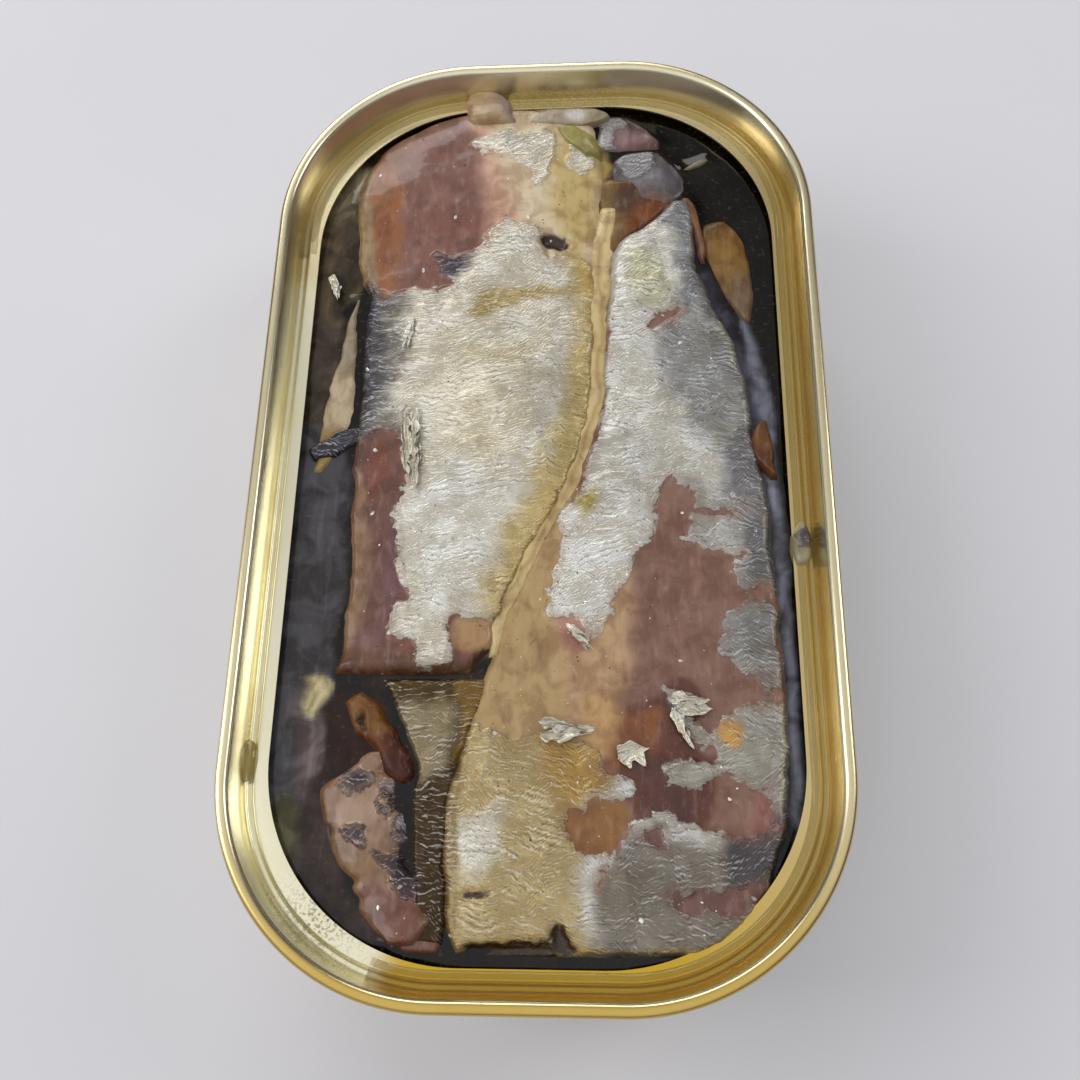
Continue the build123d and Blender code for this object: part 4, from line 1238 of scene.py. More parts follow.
def small_pieces() -> list[Slab]:
    """Clove, brown strip, orange fragment, scraps on the rim and along the bottom."""
    return [
        Slab("clove_bud", ("clove",),
             ((-7.6, -0.5, 0.4), (-5.0, -1.5, 1.5), (-1.0, -2.3, 2.3), (2.6, -2.7, 2.6), (4.9, -2.4, 2.2),
              (6.3, -1.4, 1.2)),
             crown=-4.05, sag=0.35, bevel=1.1, drop=0.9, step=0.14, heading=14.0, origin=(21.0, 26.2),
             ground=srgb(118, 86, 38), slot="clove", lumps=0.06, edge_wander=0.12,
             flesh=(Patch(oval(22.8, 21.6, 1.9, 3.4, 12), srgb(109, 89, 68), 1.8, 0.4),
                    Patch(oval(19.4, 32.0, 2.2, 1.3), srgb(85, 57, 23), 0.9, 0.3),
                    Patch(oval(20.4, 27.6, 1.3, 2.4, 10), srgb(132, 100, 49), 1.4, 0.4))),
        Slab("amber_spice", ("spice_strip",),
             ((-5.4, -0.6, 0.9), (-3.6, -1.5, 1.4), (0.0, -1.6, 1.5), (3.0, -1.7, 1.5), (5.0, -1.0, 0.9)),
             crown=-3.45, sag=0.5, bevel=0.8, drop=1.4, step=0.13, heading=35.0, origin=(-15.2, -27.2),
             ground=srgb(91, 47, 14), slot="spice", lumps=0.24, edge_wander=0.32,
             flesh=(Patch(((-19.4, -22), (-16, -22), (-14.8, -26), (-17.6, -26.8)), srgb(124, 85, 38), 1.0, 0.5),
                    Patch(((-14.8, -27), (-12, -27), (-10, -33), (-14, -31)), srgb(71, 31, 16), 1.0, 0.5)),
             pits=(Patch(((-17.6, -25.6), (-16.8, -25.0), (-16.6, -27.0), (-17.2, -26.6)), srgb(0, 0, 0), 0.2, 0.2),)),
        Slab("orange_fragment", (),
             ((-0.2, 24.0, 24.7), (1.4, 22.8, 24.6), (3.2, 22.0, 24.5), (5.0, 22.5, 24.4), (6.4, 23.2, 24.0)),
             crown=-3.1, sag=0.3, bevel=0.5, drop=1.1, step=0.11, ground=srgb(102, 66, 32), slot="spice", lumps=0.12,
             edge_wander=0.15, flesh=(Patch(oval(23.6, 1.6, 0.8, 1.4), srgb(92, 51, 28), 0.7, 0.3),)),
        Slab("belly_seam", (),
             ((34.5, 6.6, 8.6), (29.0, 4.8, 8.3), (20.0, 4.4, 8.1), (10.0, 3.9, 7.6), (5.0, 2.9, 6.7), (0.0, 1.2, 5.2),
              (-5.0, -1.2, 2.7), (-10.0, -3.5, 0.2), (-15.0, -5.0, -1.9), (-19.4, -4.9, -3.5)),
             crown=-3.72, sag=0.2, bevel=1.0, drop=0.9, step=0.14, ground=srgb(200, 178, 124), slot="fish_flesh",
             lumps=0.2, edge_wander=0.4,
             flesh=(Patch(((7.5, 34), (6.9, 28), (6.7, 20), (6.2, 10), (5.2, 5), (3.6, 0), (1.1, -5), (-1.3, -10),
                           (-3.4, -15),
                           (-3.8, -15), (-1.7, -10), (0.7, -5), (3.2, 0), (4.8, 5), (5.8, 10), (6.3, 20), (6.5, 28)),
                          srgb(158, 128, 72), 0.35, 0.35, 0.8),
                    Patch(oval(7.4, 5.2, 0.8, 1.6), srgb(176, 122, 50), 0.5, 0.3),)),
        Slab("rim_flake", ("flake_on_rim",),
             ((45.6, -9.0, -3.6), (46.8, -9.7, -3.3), (48.6, -10.0, -3.6), (50.2, -9.6, -5.4), (51.0, -8.8, -6.6)),
             crown=-2.4, sag=0.5, bevel=0.9, drop=1.1, step=0.14, thick=-0.9, ground=srgb(176, 149, 108),
             slot="fish_flesh",
             lumps=0.5, edge_wander=0.45,
             flesh=(Patch(((-10.4, 51.6), (-9.4, 51), (-9.0, 46), (-10.4, 46)), srgb(186, 138, 104), 0.5, 0.3),
                    Patch(((-6, 52), (-3, 49), (-3, 46), (-5.4, 47)), srgb(160, 140, 132), 0.8, 0.4))),
        Slab("rim_skin", ("skin_on_lip",),
             ((-10.0, 25.9, 27.3), (-8.6, 25.5, 28.0), (-7.4, 25.6, 28.1), (-6.0, 26.0, 27.6), (-5.2, 26.6, 27.2)),
             crown=-2.95, sag=0.3, bevel=0.6, drop=0.7, step=0.12, thick=-0.75, ground=srgb(150, 142, 112),
             slot="fish_skin",
             lumps=0.14, skin_ground=srgb(84, 80, 92), edge_wander=0.15,
             skin=(Patch(oval(26.8, -6.8, 0.9, 1.2), srgb(84, 80, 92), 0.3, 0.3),)),
        Slab("near_scrap", (),
             ((-47.2, 14.6, 16.6), (-46.2, 14.4, 19.0), (-44.8, 15.4, 20.6), (-43.8, 17.4, 20.4)),
             crown=-3.7, sag=0.4, bevel=0.7, drop=1.4, step=0.14, ground=srgb(145, 106, 98), slot="fish_flesh",
             lumps=0.24,
             flesh=(Patch(oval(16.2, -46.0, 1.0, 0.8), srgb(112, 92, 92), 0.6, 0.3),)),
        Slab("near_left_scrap", (),
             ((-47.4, -11.6, -8.4), (-46.2, -13.2, -7.6), (-45.0, -12.4, -8.2), (-44.2, -10.4, -8.8)),
             crown=-4.0, sag=0.3, bevel=0.6, drop=1.3, step=0.14, ground=srgb(109, 71, 58), slot="fish_flesh",
             lumps=0.24),
        Slab("skin_fold", (),
             ((-2.8, -0.9, 0.6), (-1.6, -1.5, 1.2), (1.0, -1.4, 1.3), (3.2, -0.8, 1.0), (4.6, -0.3, 0.3)),
             crown=-3.8, sag=0.3, bevel=0.6, drop=1.4, step=0.13, heading=-62.0, origin=(-22.4, 4.4),
             ground=srgb(60, 42, 34), skin_all=True, skin_ground=srgb(52, 50, 62), lumps=0.2),
    ]


# ---- oil

@dataclass
class OilPool:
    """The oil round the fish, up to the body's wall."""

    step: float = 0.32
    wall_clearance: float = 0.06

    def tints(self) -> tuple[Patch, ...]:
        """What shows in and under the oil, and a painted reflection of the meniscus along the right wall."""
        return (
            Patch(((-30, 52), (-13, 52), (-19, 44), (-22.6, 38), (-23.2, 24), (-22, 8), (-21, -20), (-30, -20)),
                  srgb(72, 62, 50), 1.0, 0.6),
            Patch(((-24.8, 45), (-21.6, 44), (-21.2, 36), (-22.6, 32), (-25.2, 30), (-25.4, 38)),
                  srgb(116, 104, 80), 1.2, 0.9),
            Patch(((-25.4, 32), (-21.6, 34), (-21.0, 24), (-24.4, 20), (-25.6, 24)), srgb(91, 76, 53), 0.8, 0.8),
            Patch(((-27.4, 6), (-21.0, 3), (-20.4, -12), (-20.6, -22), (-19.8, -30), (-21, -38), (-25, -40),
                   (-27.6, -20)),
                  srgb(72, 70, 74), 0.7, 0.5),
            Patch(((-24.2, -22), (-21.2, -22), (-20.4, -27), (-20.6, -35), (-22.0, -36), (-23.4, -28)),
                  srgb(102, 90, 89), 0.9, 0.5),
            Patch(((-23.2, -21.4), (-20.6, -22.0), (-21.8, -25.2), (-22.8, -24.6)), srgb(196, 184, 138), 0.5, 0.3),
            Patch(((-24.4, -33), (-21.8, -36), (-22.6, -39), (-25.4, -36)), srgb(96, 92, 58), 0.9, 0.5),
            Patch(((-23.4, 33), (-21.8, 33), (-21.2, 26), (-22.4, 21), (-24.4, 22)), srgb(66, 56, 42), 0.6, 0.6),
            Patch(((-20.4, -23.4), (-15, -23), (-14.6, -29.4), (-20.2, -30.4)), srgb(44, 20, 9), 0.5, 0.3),
            Patch(((-21, -30), (-19, -30), (-18, -40), (-14, -46), (-20, -44), (-23, -36)), srgb(58, 44, 40), 0.9, 0.5),
            Patch(((5.0, 40), (7.4, 40), (7.2, 12), (6.2, 3), (3.6, -2), (-1, -10), (-3.6, -17), (-5.6, -18),
                   (1, -4), (4.6, 6)),
                  srgb(186, 158, 96), 0.9, 0.4),
            Patch(((-16, -21), (-4.6, -20.6), (-5.4, -22.6), (-16, -22.4)), srgb(44, 28, 14), 0.4, 0.2),
            Patch(((-4, 44), (2, 46), (6, 42), (8, 33), (9, 29), (6, 28), (5, 40)), srgb(140, 116, 60), 0.9, 0.6),
            Patch(((5, 34), (12, 35), (16, 34), (14, 30), (8, 28)), srgb(124, 76, 36), 0.9, 0.5),
            Patch(((17.4, 24), (19.2, 24), (22.6, 12), (23.6, 2), (22.6, 0), (21.2, 12)), srgb(66, 64, 78), 0.8, 0.4),
            # Painted reflection: the bluish-grey strip by the right fish's edge is light caught on the oil's meniscus.
            Patch(((22, 20), (24.4, 10), (25.2, -8), (25.4, -36), (24.6, -37), (24.2, -8), (23, 8)),
                  srgb(112, 114, 128), 0.5, 0.3),
        )

    def height(self, x: Array, y: Array, others: Callable[[Array, Array], Array]) -> Array:
        """Height of the surface: level, drawn up a little at the wall and at the fish."""
        wall = TIN.wall_distance(x, y, TIN.wall_inset)
        creep = 0.25 * np.exp(-wall / 0.7)
        swell = 0.03 * COARSE.at(x, y, 9.0)
        return TIN.oil_level + creep + swell + others(x, y)

    def build(self, fish: Sequence[Slab]) -> None:
        """Make the pool and dress it.

        Args:
            fish: the pieces that the oil creeps up on.
        """
        inset = TIN.wall_inset + self.wall_clearance
        end = TIN.half_length - inset
        along = np.linspace(-end, end, int(2 * end / self.step))
        half = TIN.row_half_width(along, inset)
        half = np.maximum(half, 0.5)
        columns = int(2 * half.max() / self.step)
        share = np.linspace(-1, 1, columns)
        x, y = half[:, None] * share, np.repeat(along[:, None], columns, 1)

        def creep(px: Array, py: Array) -> Array:
            """How far the oil climbs where it meets the food."""
            total = np.zeros(px.shape)
            for slab in fish:
                stations = np.array(sorted(slab.edges))
                outline = np.concatenate([stations[:, [1, 0]], stations[::-1][:, [2, 0]]])
                distance = -inside_by(px, py, outline, 3.0)
                total = total + 0.16 * np.exp(-(np.maximum(distance, 0) / 0.8) ** 1.3)
            return np.minimum(total, 0.3)

        z = self.height(x, y, creep)
        points, faces = closed_sheet(np.stack([x, y, lift(z)], -1), TIN.height + TIN.oil_level - 9.0)
        pool = mesh_piece("oil_pool", points, faces)
        # The near-black ground is painted shade: the deep, narrow gaps round the fish get little light.
        tint = painted(x, y, srgb(18, 13, 7), self.tints()).reshape(-1, 3)
        add_tints(pool, "sunk_colour_and_shade", np.concatenate([tint, np.repeat(tint[:1], len(points) - len(tint), 0)]))
        pool.data.materials.append(OilFinish().build("oil_with_painted_shade"))
        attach(pool, BODY)
        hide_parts("oil")
        LOG.info("oil pool: %d faces", len(pool.data.polygons))


@dataclass
class RimFilm:
    """Oil that stands in the groove round the lip, and one drop on the dry side."""

    level: float = -3.18
    start: float = -107.0
    stop: float = 137.0
    inner: float = 3.75
    outer: float = 1.55

    def section(self) -> Array:
        """Cross-section of the film: inset and height."""
        under = [(self.outer, -3.0), (1.80, -3.6), (1.95, -3.98), (2.5, -3.98), (2.78, -3.52), (self.inner, -3.44)]
        over = [(self.inner - 0.06, -3.36), (3.3, self.level - 0.02), (2.6, self.level - 0.04),
                (2.0, self.level), (1.62, self.level + 0.16)]
        return np.array(under + over)

    def build(self, metal: TinMetal) -> None:
        """Make the film and the drop."""
        section = self.section()
        rounds = metal.outline(section[:, 0], np.zeros(len(section)))
        bearing = np.degrees(np.arctan2(rounds[:, 0, 1], rounds[:, 0, 0]))
        keep = np.flatnonzero((bearing > self.start) & (bearing < self.stop))
        order = keep[np.argsort(bearing[keep])]
        rounds = rounds[order]
        turns, count = rounds.shape[:2]
        ends = np.minimum(np.arange(turns), np.arange(turns)[::-1]) / 5.0
        swell = np.sqrt(np.clip(ends, 0, 1) * (2 - np.clip(ends, 0, 1)))
        base = section[:, 1].min()
        height = base + (section[:, 1] - base)[None, :] * (0.35 + 0.65 * swell[:, None])
        height = np.maximum(height, np.broadcast_to(np.where(np.arange(count) < 6, section[:, 1], -9), height.shape))
        points = np.concatenate([rounds, lift(height)[..., None]], -1)
        index = np.arange(turns * count).reshape(turns, count)
        a, b = index[:-1], index[1:]
        faces = np.stack([a, b, np.roll(b, -1, 1), np.roll(a, -1, 1)], -1).reshape(-1, 4).tolist()
        faces += [index[0].tolist(), index[-1][::-1].tolist()]
        film = mesh_piece("groove_oil", points.reshape(-1, 3), faces, 60)
        self._dress(film, FilmFinish().build("groove_oil"), ("rim_oil",))
        self._dress(self._drop(), FilmFinish(srgb(176, 146, 48), 0.5).build("oil_drop"), ())

    @staticmethod
    def _drop() -> bpy.types.Object:
        """A drop that lies in the groove on the left."""
        rows, columns = 20, 28
        around = np.linspace(0, 2 * np.pi, columns, endpoint=False)
        points = [(-27.95, -29.6, lift(-2.85))]
        for i in range(1, rows):
            tilt = math.pi * i / rows
            r, z = math.sin(tilt), math.cos(tilt)
            for angle in around:
                points.append((-27.95 + 1.05 * r * math.cos(angle),
                               -29.6 + 2.1 * r * math.sin(angle) * (1 - 0.12 * math.sin(angle)),
                               lift(-3.42 + (0.57 if z > 0 else 0.42) * z)))
        points.append((-27.95, -29.6, lift(-3.84)))
        faces = [[0, 1 + k, 1 + (k + 1) % columns] for k in range(columns)]
        for i in range(rows - 2):
            a, b = 1 + i * columns, 1 + (i + 1) * columns
            faces += [[a + k, b + k, b + (k + 1) % columns, a + (k + 1) % columns] for k in range(columns)]
        last, tip = 1 + (rows - 2) * columns, len(points) - 1
        faces += [[last + k, tip, last + (k + 1) % columns] for k in range(columns)]
        return mesh_piece("groove_drop", np.array(points), faces)

    @staticmethod
    def _dress(piece: bpy.types.Object, finish: bpy.types.Material, nodes: tuple[str, ...]) -> None:
        """Give a piece its finish and tie it to the tin."""
        piece.data.materials.append(finish)
        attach(piece, BODY)
        if nodes:
            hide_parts(*nodes)
        LOG.info("oil piece %s: %d faces", piece.name, len(piece.data.polygons))


# ---- scattered bits

@dataclass(frozen=True)
class Scatter:
    """Small bits spread over a piece by Geometry Nodes, made real and joined."""

    name: str
    per_square_cm: float
    length: float
    width: float
    thick: float
    seed: int
    finish: SoftFinish
    slot: str
    zone: tuple[Patch, ...] = ()
    curl: float = 0.0
    rise: float = 0.0

    def sizes(self) -> dict[str, float]:
        """The tree's inputs in metres, apart from the seed."""
        return {"Density": self.per_square_cm * 1e4, "Length": self.length * MM, "Width": self.width * MM,
                "Thickness": self.thick * MM, "Rise": self.rise * MM}

    def tree(self, material: bpy.types.Material) -> bpy.types.NodeTree:
        """Build the node tree: points on the carrier, one flat bit on each, made real."""
        tree = bpy.data.node_groups.new(self.name, "GeometryNodeTree")
        face = tree.interface
        face.new_socket("Geometry", in_out="INPUT", socket_type="NodeSocketGeometry")
        for label, value in self.sizes().items():
            socket = face.new_socket(label, in_out="INPUT", socket_type="NodeSocketFloat")
            socket.default_value = value
        seed = face.new_socket("Seed", in_out="INPUT", socket_type="NodeSocketInt")
        seed.default_value = self.seed
        face.new_socket("Geometry", in_out="OUTPUT", socket_type="NodeSocketGeometry")
        nodes, links = tree.nodes, tree.links

        def add(kind: str, settings: dict | None = None, values: dict | None = None) -> bpy.types.Node:
            """Add a node: its settings first, then the values or links of its sockets."""
            node = nodes.new(kind)
            for key, value in (settings or {}).items():
                setattr(node, key, value)
            for key, value in (values or {}).items():
                if isinstance(value, bpy.types.NodeSocket):
                    links.new(value, node.inputs[key])
                else:
                    node.inputs[key].default_value = value
            return node

        given = add("NodeGroupInput")
        zone = add("GeometryNodeInputNamedAttribute", {"data_type": "FLOAT"}, {"Name": "scatter_zone"})
        density = add("ShaderNodeMath", {"operation": "MULTIPLY"},
                      {0: given.outputs["Density"], 1: zone.outputs["Attribute"]})
        points = add("GeometryNodeDistributePointsOnFaces", {"distribute_method": "RANDOM"},
                     {"Mesh": given.outputs["Geometry"], "Density": density.outputs[0], "Seed": given.outputs["Seed"]})
        bit = add("GeometryNodeMeshIcoSphere", None, {"Radius": 1.0, "Subdivisions": 2})
        shape = add("ShaderNodeCombineXYZ", None, {"X": given.outputs["Length"], "Y": given.outputs["Width"],
                                                   "Z": given.outputs["Thickness"]})
        flat = add("GeometryNodeTransform", None, {"Geometry": bit.outputs["Mesh"], "Scale": shape.outputs[0]})
        where = add("GeometryNodeInputPosition")
        parts = add("ShaderNodeSeparateXYZ", None, {0: where.outputs[0]})
        square = add("ShaderNodeMath", {"operation": "MULTIPLY"}, {0: parts.outputs["X"], 1: parts.outputs["X"]})
        bow = add("ShaderNodeMath", {"operation": "MULTIPLY"}, {0: square.outputs[0], 1: self.curl / MM})
        shift = add("ShaderNodeCombineXYZ", None, {"Z": bow.outputs[0]})
        curled = add("GeometryNodeSetPosition", None, {"Geometry": flat.outputs[0], "Offset": shift.outputs[0]})
        size = add("FunctionNodeRandomValue", {"data_type": "FLOAT"}, {2: 0.45, 3: 1.25, "Seed": self.seed + 1})
        spin = add("FunctionNodeRandomValue", {"data_type": "FLOAT_VECTOR"},
                   {0: (-0.25, -0.25, 0.0), 1: (0.25, 0.25, 6.28), "Seed": self.seed + 2})
        turned = add("FunctionNodeRotateRotation", {"rotation_space": "LOCAL"},
                     {"Rotation": points.outputs["Rotation"]})
        euler = add("FunctionNodeEulerToRotation", None, {0: spin.outputs["Value"]})
        links.new(euler.outputs[0], turned.inputs["Rotate By"])
        spread = add("GeometryNodeInstanceOnPoints", None,
                     {"Points": points.outputs["Points"], "Instance": curled.outputs[0],
                      "Rotation": turned.outputs[0], "Scale": size.outputs[1]})
        up = add("ShaderNodeCombineXYZ", None, {"Z": given.outputs["Rise"]})
        raised = add("GeometryNodeTranslateInstances", None,
                     {"Instances": spread.outputs[0], "Translation": up.outputs[0]})
        raised.inputs["Local Space"].default_value = False
        real = add("GeometryNodeRealizeInstances", None, {"Geometry": raised.outputs[0]})
        dressed = add("GeometryNodeSetMaterial", None, {"Geometry": real.outputs[0], "Material": material})
        out = add("NodeGroupOutput")
        links.new(dressed.outputs[0], out.inputs[0])
        return tree

    def build(self, carriers: Sequence[bpy.types.Object]) -> bpy.types.Object | None:
        """Spread the bits over the carriers' tops.

        Args:
            carriers: the pieces that carry the bits.

        Returns:
            The joined bits, or None where none fell.
        """
        material = self.finish.build(self.name)
        tree = self.tree(material)
        points, faces, count = [], [], 0
        for carrier in carriers:
            copy = bpy.data.objects.new("carrier", carrier.data.copy())
            bpy.context.scene.collection.objects.link(copy)
            place = np.empty(len(copy.data.vertices) * 3)
            copy.data.vertices.foreach_get("co", place)
            place = place.reshape(-1, 3) / MM
            zone = np.zeros(len(place)) if self.zone else np.ones(len(place))
            for patch in self.zone:
                zone = np.maximum(zone, patch.cover(place[:, 0], place[:, 1]))
            zone[place[:, 2] < lift(TIN.oil_level) - 0.05] = 0
            add_numbers(copy, "scatter_zone", zone)
            modifier = copy.modifiers.new("bits", "NODES")
            modifier.node_group = tree
            inputs = {**self.sizes(), "Seed": self.seed + count}
            for item in tree.interface.items_tree:
                if item.in_out == "INPUT" and item.name in inputs:
                    modifier[item.identifier] = inputs[item.name]
            graph = bpy.context.evaluated_depsgraph_get()
            made = bpy.data.meshes.new_from_object(copy.evaluated_get(graph))
            here = np.empty(len(made.vertices) * 3)
            made.vertices.foreach_get("co", here)
            points.append(here.reshape(-1, 3) / MM)
            faces += [[v + count for v in polygon.vertices] for polygon in made.polygons]
            count += len(made.vertices)
            bpy.data.objects.remove(copy)
        if not count:
            return None
        piece = mesh_piece(self.name, np.concatenate(points), faces)
        piece.data.materials.append(material)
        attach(piece, BODY)
        LOG.info("scattered %s: %d faces", self.name, len(piece.data.polygons))
        return piece


def scatters() -> list[Scatter]:
    """Everything small that is spread over the food."""
    silver = SoftFinish(srgb(236, 234, 226), srgb(150, 146, 138), 0.8, 0.6, 0.25)
    golden = SoftFinish(srgb(226, 190, 110), srgb(150, 104, 40), 0.6, 0.3, 0.25)
    black = SoftFinish(srgb(50, 36, 28), srgb(22, 16, 14), 0.5)
    pale = SoftFinish(srgb(226, 214, 196), srgb(180, 150, 120), 0.5)
    belly = Patch(((-1, 33), (6, 40), (8, 24), (6, 6), (0, -6), (3, -16), (1, -30), (-8, -46), (-9, -30), (-2, -8),
                   (3, 6)),
                  (1, 1, 1), 1.0, 0.3)
    return [
        Scatter("loose_scales", 2.6, 0.26, 0.17, 0.025, 11, silver, "fish_skin", curl=0.35),
        Scatter("golden_grains", 22.0, 0.11, 0.08, 0.05, 23, golden, "fish_flesh", (belly,)),
        Scatter("dark_specks", 4.5, 0.10, 0.07, 0.04, 31, black, "spice"),
        Scatter("pale_specks", 4.0, 0.08, 0.07, 0.04, 43, pale, "fish_flesh"),
    ]


@dataclass
class CurledFlake:
    """A larger torn flake of skin that stands up from the surface."""

    name: str
    start: Point
    end: Point
    width: float
    height: float = -2.6
    bow: float = 0.6
    seed: int = 1
    strands: int = 3

    def strand(self, start: Array, end: Array, width: float, seed: float) -> tuple[Array, Array]:
        """One thin closed strip with a bowed, ragged form.

        Args:
            start: where it starts.
            end: where it ends.
            width: its width.
            seed: sets its ragged edge.

        Returns:
            Its points and faces.
        """
        length = float(np.hypot(*(end - start)))
        rows, columns = max(10, int(length / 0.14)), max(5, int(width / 0.14))
        t, s = np.meshgrid(np.linspace(0, 1, rows), np.linspace(-1, 1, columns), indexing="ij")
        dx, dy = (end - start) / length
        taper = np.clip(t / 0.12, 0.15, 1) ** 0.6 * np.clip((1 - t) / 0.35, 0.08, 1) ** 0.8
        ragged = 1 + 0.8 * FINE.at(t * length, np.sign(s) * 3 + seed, 0.7) * np.abs(s)
        across = s * width / 2 * taper * ragged + 0.35 * width * MIDDLE.at(t * length, t * 0 + seed, 1.8)
        along = t * length + 0.2 * MIDDLE.at(s * 2, t * 3 + seed, 1.0)
        x = start[0] + dx * along - dy * across
        y = start[1] + dy * along + dx * across
        z = self.height + self.bow * (s ** 2 - 0.35) * taper * min(1.0, width) + 0.2 * MIDDLE.at(x, y + seed, 1.4)
        top = np.stack([x, y, lift(z)], -1)
        under = top - np.array([0, 0, 0.06])
        index = np.arange(rows * columns).reshape(rows, columns)
        quads = np.stack([index[:-1, :-1], index[1:, :-1], index[1:, 1:], index[:-1, 1:]], -1).reshape(-1, 4)
        loop = np.concatenate([index[0, :], index[1:, -1], index[-1, -2::-1], index[-2:0:-1, 0]])
        nxt = np.roll(loop, -1)
        skirt = np.stack([loop, nxt, nxt + rows * columns, loop + rows * columns], -1)
        faces = np.concatenate([quads, quads[:, ::-1] + rows * columns, skirt])
        return np.concatenate([top.reshape(-1, 3), under.reshape(-1, 3)]), faces

    def build(self, finish: bpy.types.Material) -> None:
        """Make the flake as a bundle of strands and dress it."""
        first, last = np.array(self.start), np.array(self.end)
        side = np.array([first[1] - last[1], last[0] - first[0]]) / math.dist(self.start, self.end)
        jitter = np.random.default_rng(self.seed).uniform(-1, 1, (self.strands, 4))
        points, faces, count = [], [], 0
        for k, (a, b, c, d) in enumerate(jitter):
            shift = side * self.width * ((k + 0.5) / self.strands - 0.5)
            ends = first + shift + 0.5 * np.array([a, 2 * b]), last + shift * 0.7 + 0.5 * np.array([c, 2 * d])
            if self.strands == 1:
                ends = first, last
            made, quads = self.strand(*ends, self.width / self.strands * (1.7 if k else 2.2), self.seed + 3.1 * k)
            made[:, 2] += 0.07 * k
            points.append(made)
            faces += (quads + count).tolist()
            count += len(made)
        joined = np.concatenate(points)
        x = joined[:, 0]
        piece = mesh_piece(self.name, joined, faces)
        both = x
        add_numbers(piece, "skin_edge", np.full(len(both), 3.0))
        add_numbers(piece, "pit", np.full(len(both), -4.0))
        bright = np.broadcast_to(np.array(srgb(226, 222, 208)), (len(both), 3))
        add_tints(piece, "skin_tint", bright.copy())
        add_tints(piece, "flesh_tint", bright.copy())
        piece.data.materials.append(finish)
        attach(piece, BODY)
        LOG.info("flake %s: %d faces", self.name, len(piece.data.polygons))


def curled_flakes() -> list[CurledFlake]:
    """The larger flakes that stand out."""
    return [
        CurledFlake("flake_by_flank", (-13.6, 7.4), (-13.0, -1.4), 2.0, -2.75, 0.5, 1, 5),
        CurledFlake("flake_by_crease", (-14.3, 18.8), (-14.9, 16.2), 0.9, -2.7, 0.3, 2),
        CurledFlake("flake_on_belly", (1.0, -26.6), (5.6, -26.6), 1.2, -2.35, 0.45, 3, 2),
        CurledFlake("flake_on_muscle", (13.2, -24.4), (16.6, -23.4), 1.1, -2.5, 0.4, 4, 2),
        CurledFlake("flake_by_muscle", (13.4, -24.8), (15.2, -27.8), 0.8, -2.5, 0.3, 5, 2),
        CurledFlake("flake_low", (8.4, -30.0), (11.0, -28.6), 0.9, -2.5, 0.35, 6, 1),
        CurledFlake("flake_tail", (3.2, -17.2), (5.6, -18.2), 0.7, -2.5, 0.3, 7),
        CurledFlake("flake_side", (-23.9, 24.9), (-23.1, 22.9), 1.0, -3.9, 0.3, 8),
    ]


# ---- studio

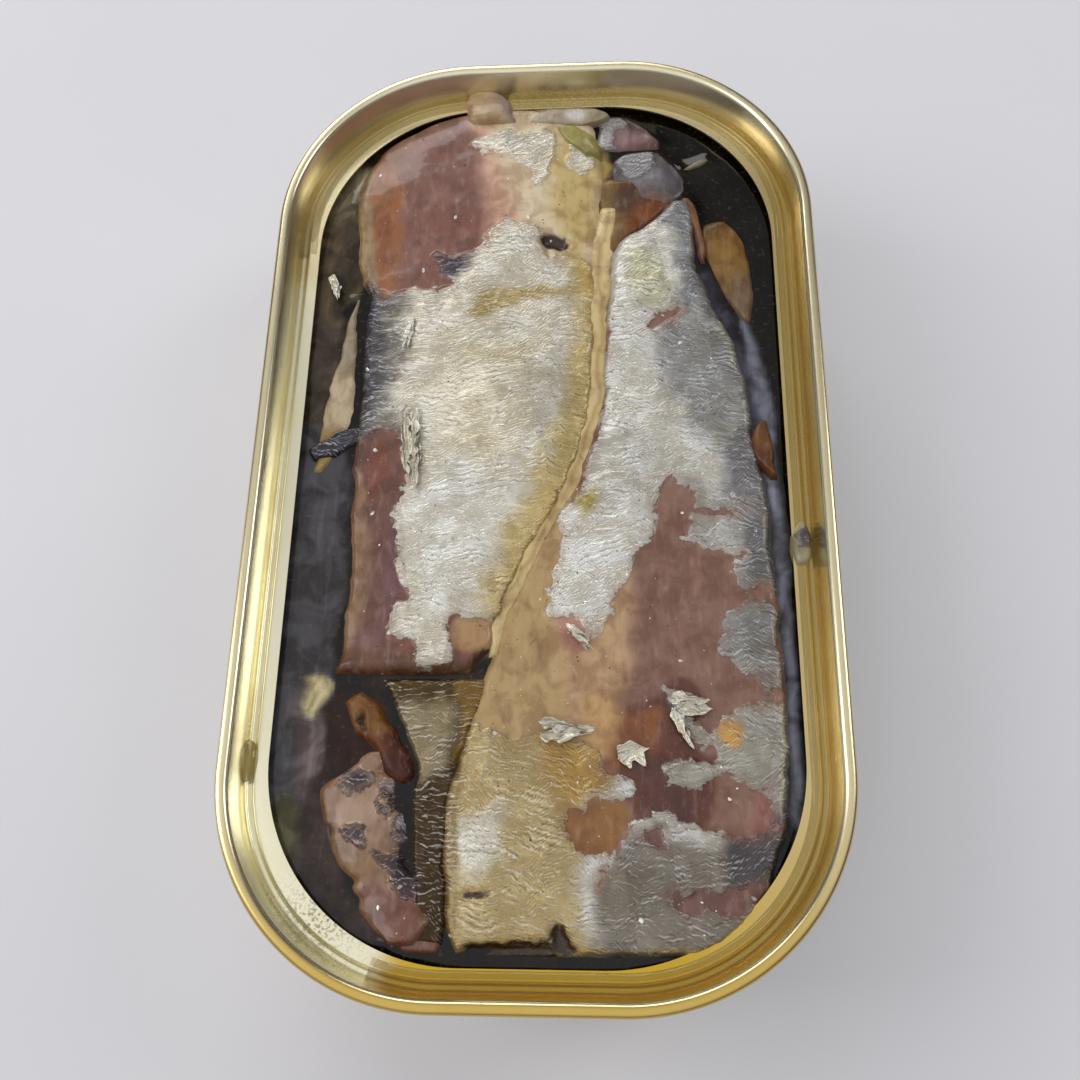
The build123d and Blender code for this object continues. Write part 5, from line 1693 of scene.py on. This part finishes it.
@dataclass
class Studio:
    """Pale floor, soft light and the camera."""

    lens: float = 38.3
    camera_place: tuple[float, float, float] = (7.99, -49.26, 106.46)
    camera_turn: tuple[float, float, float] = (21.02, 3.66, 0.97)

    def build(self) -> None:
        """Make floor, lights, world and camera."""
        self._floor()
        self._lights()
        self._world()
        self._camera()

    def _floor(self) -> None:
        """A pale sheet of paper that the tin stands on."""
        s = Shader("pale_paper")
        cloud = s.noise(60.0, 3.0)
        base = s.mix(cloud, srgb(212, 211, 216), srgb(222, 221, 225))
        paper = s.finish({"Base Color": base, "Roughness": 0.85})
        mesh = bpy.data.meshes.new("floor")
        half = 1.2
        mesh.from_pydata([(-half, -half, 0), (half, -half, 0), (half, half, 0), (-half, half, 0)], [], [(0, 1, 2, 3)])
        floor = bpy.data.objects.new("floor", mesh)
        bpy.context.scene.collection.objects.link(floor)
        floor.data.materials.append(paper)

    @staticmethod
    def _area(name: str, place: tuple[float, float, float], size: tuple[float, float], power: float,
              colour: Colour) -> None:
        """One rectangular lamp that looks at the tin."""
        lamp = bpy.data.lights.new(name, "AREA")
        lamp.shape = "RECTANGLE"
        lamp.size, lamp.size_y = size
        lamp.energy = power
        lamp.color = colour
        item = bpy.data.objects.new(name, lamp)
        item.location = place
        back = Matrix.Translation(place).to_translation()
        item.rotation_euler = back.to_track_quat("Z", "Y").to_euler()
        bpy.context.scene.collection.objects.link(item)

    def _lights(self) -> None:
        """A broad lamp beyond the far end, a small one overhead and a weak fill."""
        self._area("key", (-0.20, 0.66, 0.46), (0.55, 0.30), 2.0, (1.0, 0.99, 0.97))
        self._area("left", (-0.55, 0.02, 0.42), (0.30, 0.60), 1.3, (1.0, 0.99, 0.98))
        self._area("right", (0.50, 0.20, 0.50), (0.20, 0.30), 0.75, (0.98, 0.99, 1.0))

    @staticmethod
    def _world() -> None:
        """An even, slightly cool room."""
        world = bpy.data.worlds.new("room")
        bpy.context.scene.world = world
        world.use_nodes = True
        nodes, links = world.node_tree.nodes, world.node_tree.links
        ground = nodes["Background"]
        ground.inputs["Strength"].default_value = 1.0
        heading, height = nodes.new("ShaderNodeTexCoord"), nodes.new("ShaderNodeVectorMath")
        height.operation = "DOT_PRODUCT"
        height.inputs[1].default_value = (-0.20, -0.35, 1.0)
        ramp = nodes.new("ShaderNodeValToRGB")
        ramp.color_ramp.elements[0].color = (0.10, 0.10, 0.105, 1.0)
        ramp.color_ramp.elements[0].position = 0.30
        ramp.color_ramp.elements[1].color = (0.90, 0.91, 0.935, 1.0)
        links.new(heading.outputs["Generated"], height.inputs[0])
        links.new(height.outputs["Value"], ramp.inputs[0])
        links.new(ramp.outputs[0], ground.inputs["Color"])

    def _camera(self) -> None:
        """Camera above the near end, looking down along the tin."""
        data = bpy.data.cameras.new("camera")
        data.lens = self.lens
        data.sensor_width = 36.0
        data.clip_start = 0.005
        item = bpy.data.objects.new("camera", data)
        x, y, z = self.camera_place
        item.location = (x * MM, y * MM, (z + TIN.height) * MM)
        item.rotation_euler = tuple(math.radians(angle) for angle in self.camera_turn)
        bpy.context.scene.collection.objects.link(item)
        bpy.context.scene.camera = item


def main() -> None:
    """Build the tin, its contents and the studio."""
    logging.basicConfig(level=logging.INFO, format="%(name)s: %(message)s")
    scene = bpy.context.scene
    scene.view_settings.view_transform = "Standard"
    Studio().build()
    metal = TinMetal()
    metal.build()
    fish_finish = FishFinish().build("fish")
    sunk_finish = FishFinish(Wetness.DULL, specular=0.25).build("sunk_fish")
    sunk = ("lower_sardine", "amber_spice", "brown_piece", "clove_bud", "orange_fragment")
    slabs = [left_fish(), right_fish(), lower_fish(), torn_scrap(), side_flesh(), *far_pieces(), *small_pieces()]
    made = {slab.name: slab.build(sunk_finish if slab.name in sunk else fish_finish) for slab in slabs}
    OilPool().build([slab for slab in slabs if not slab.heading])
    RimFilm().build(metal)
    for flake in curled_flakes():
        flake.build(fish_finish)
    for scatter in scatters():
        scatter.build([made["left_sardine"], made["right_sardine"], made["torn_scrap"]])


if __name__ == "__main__":
    main()
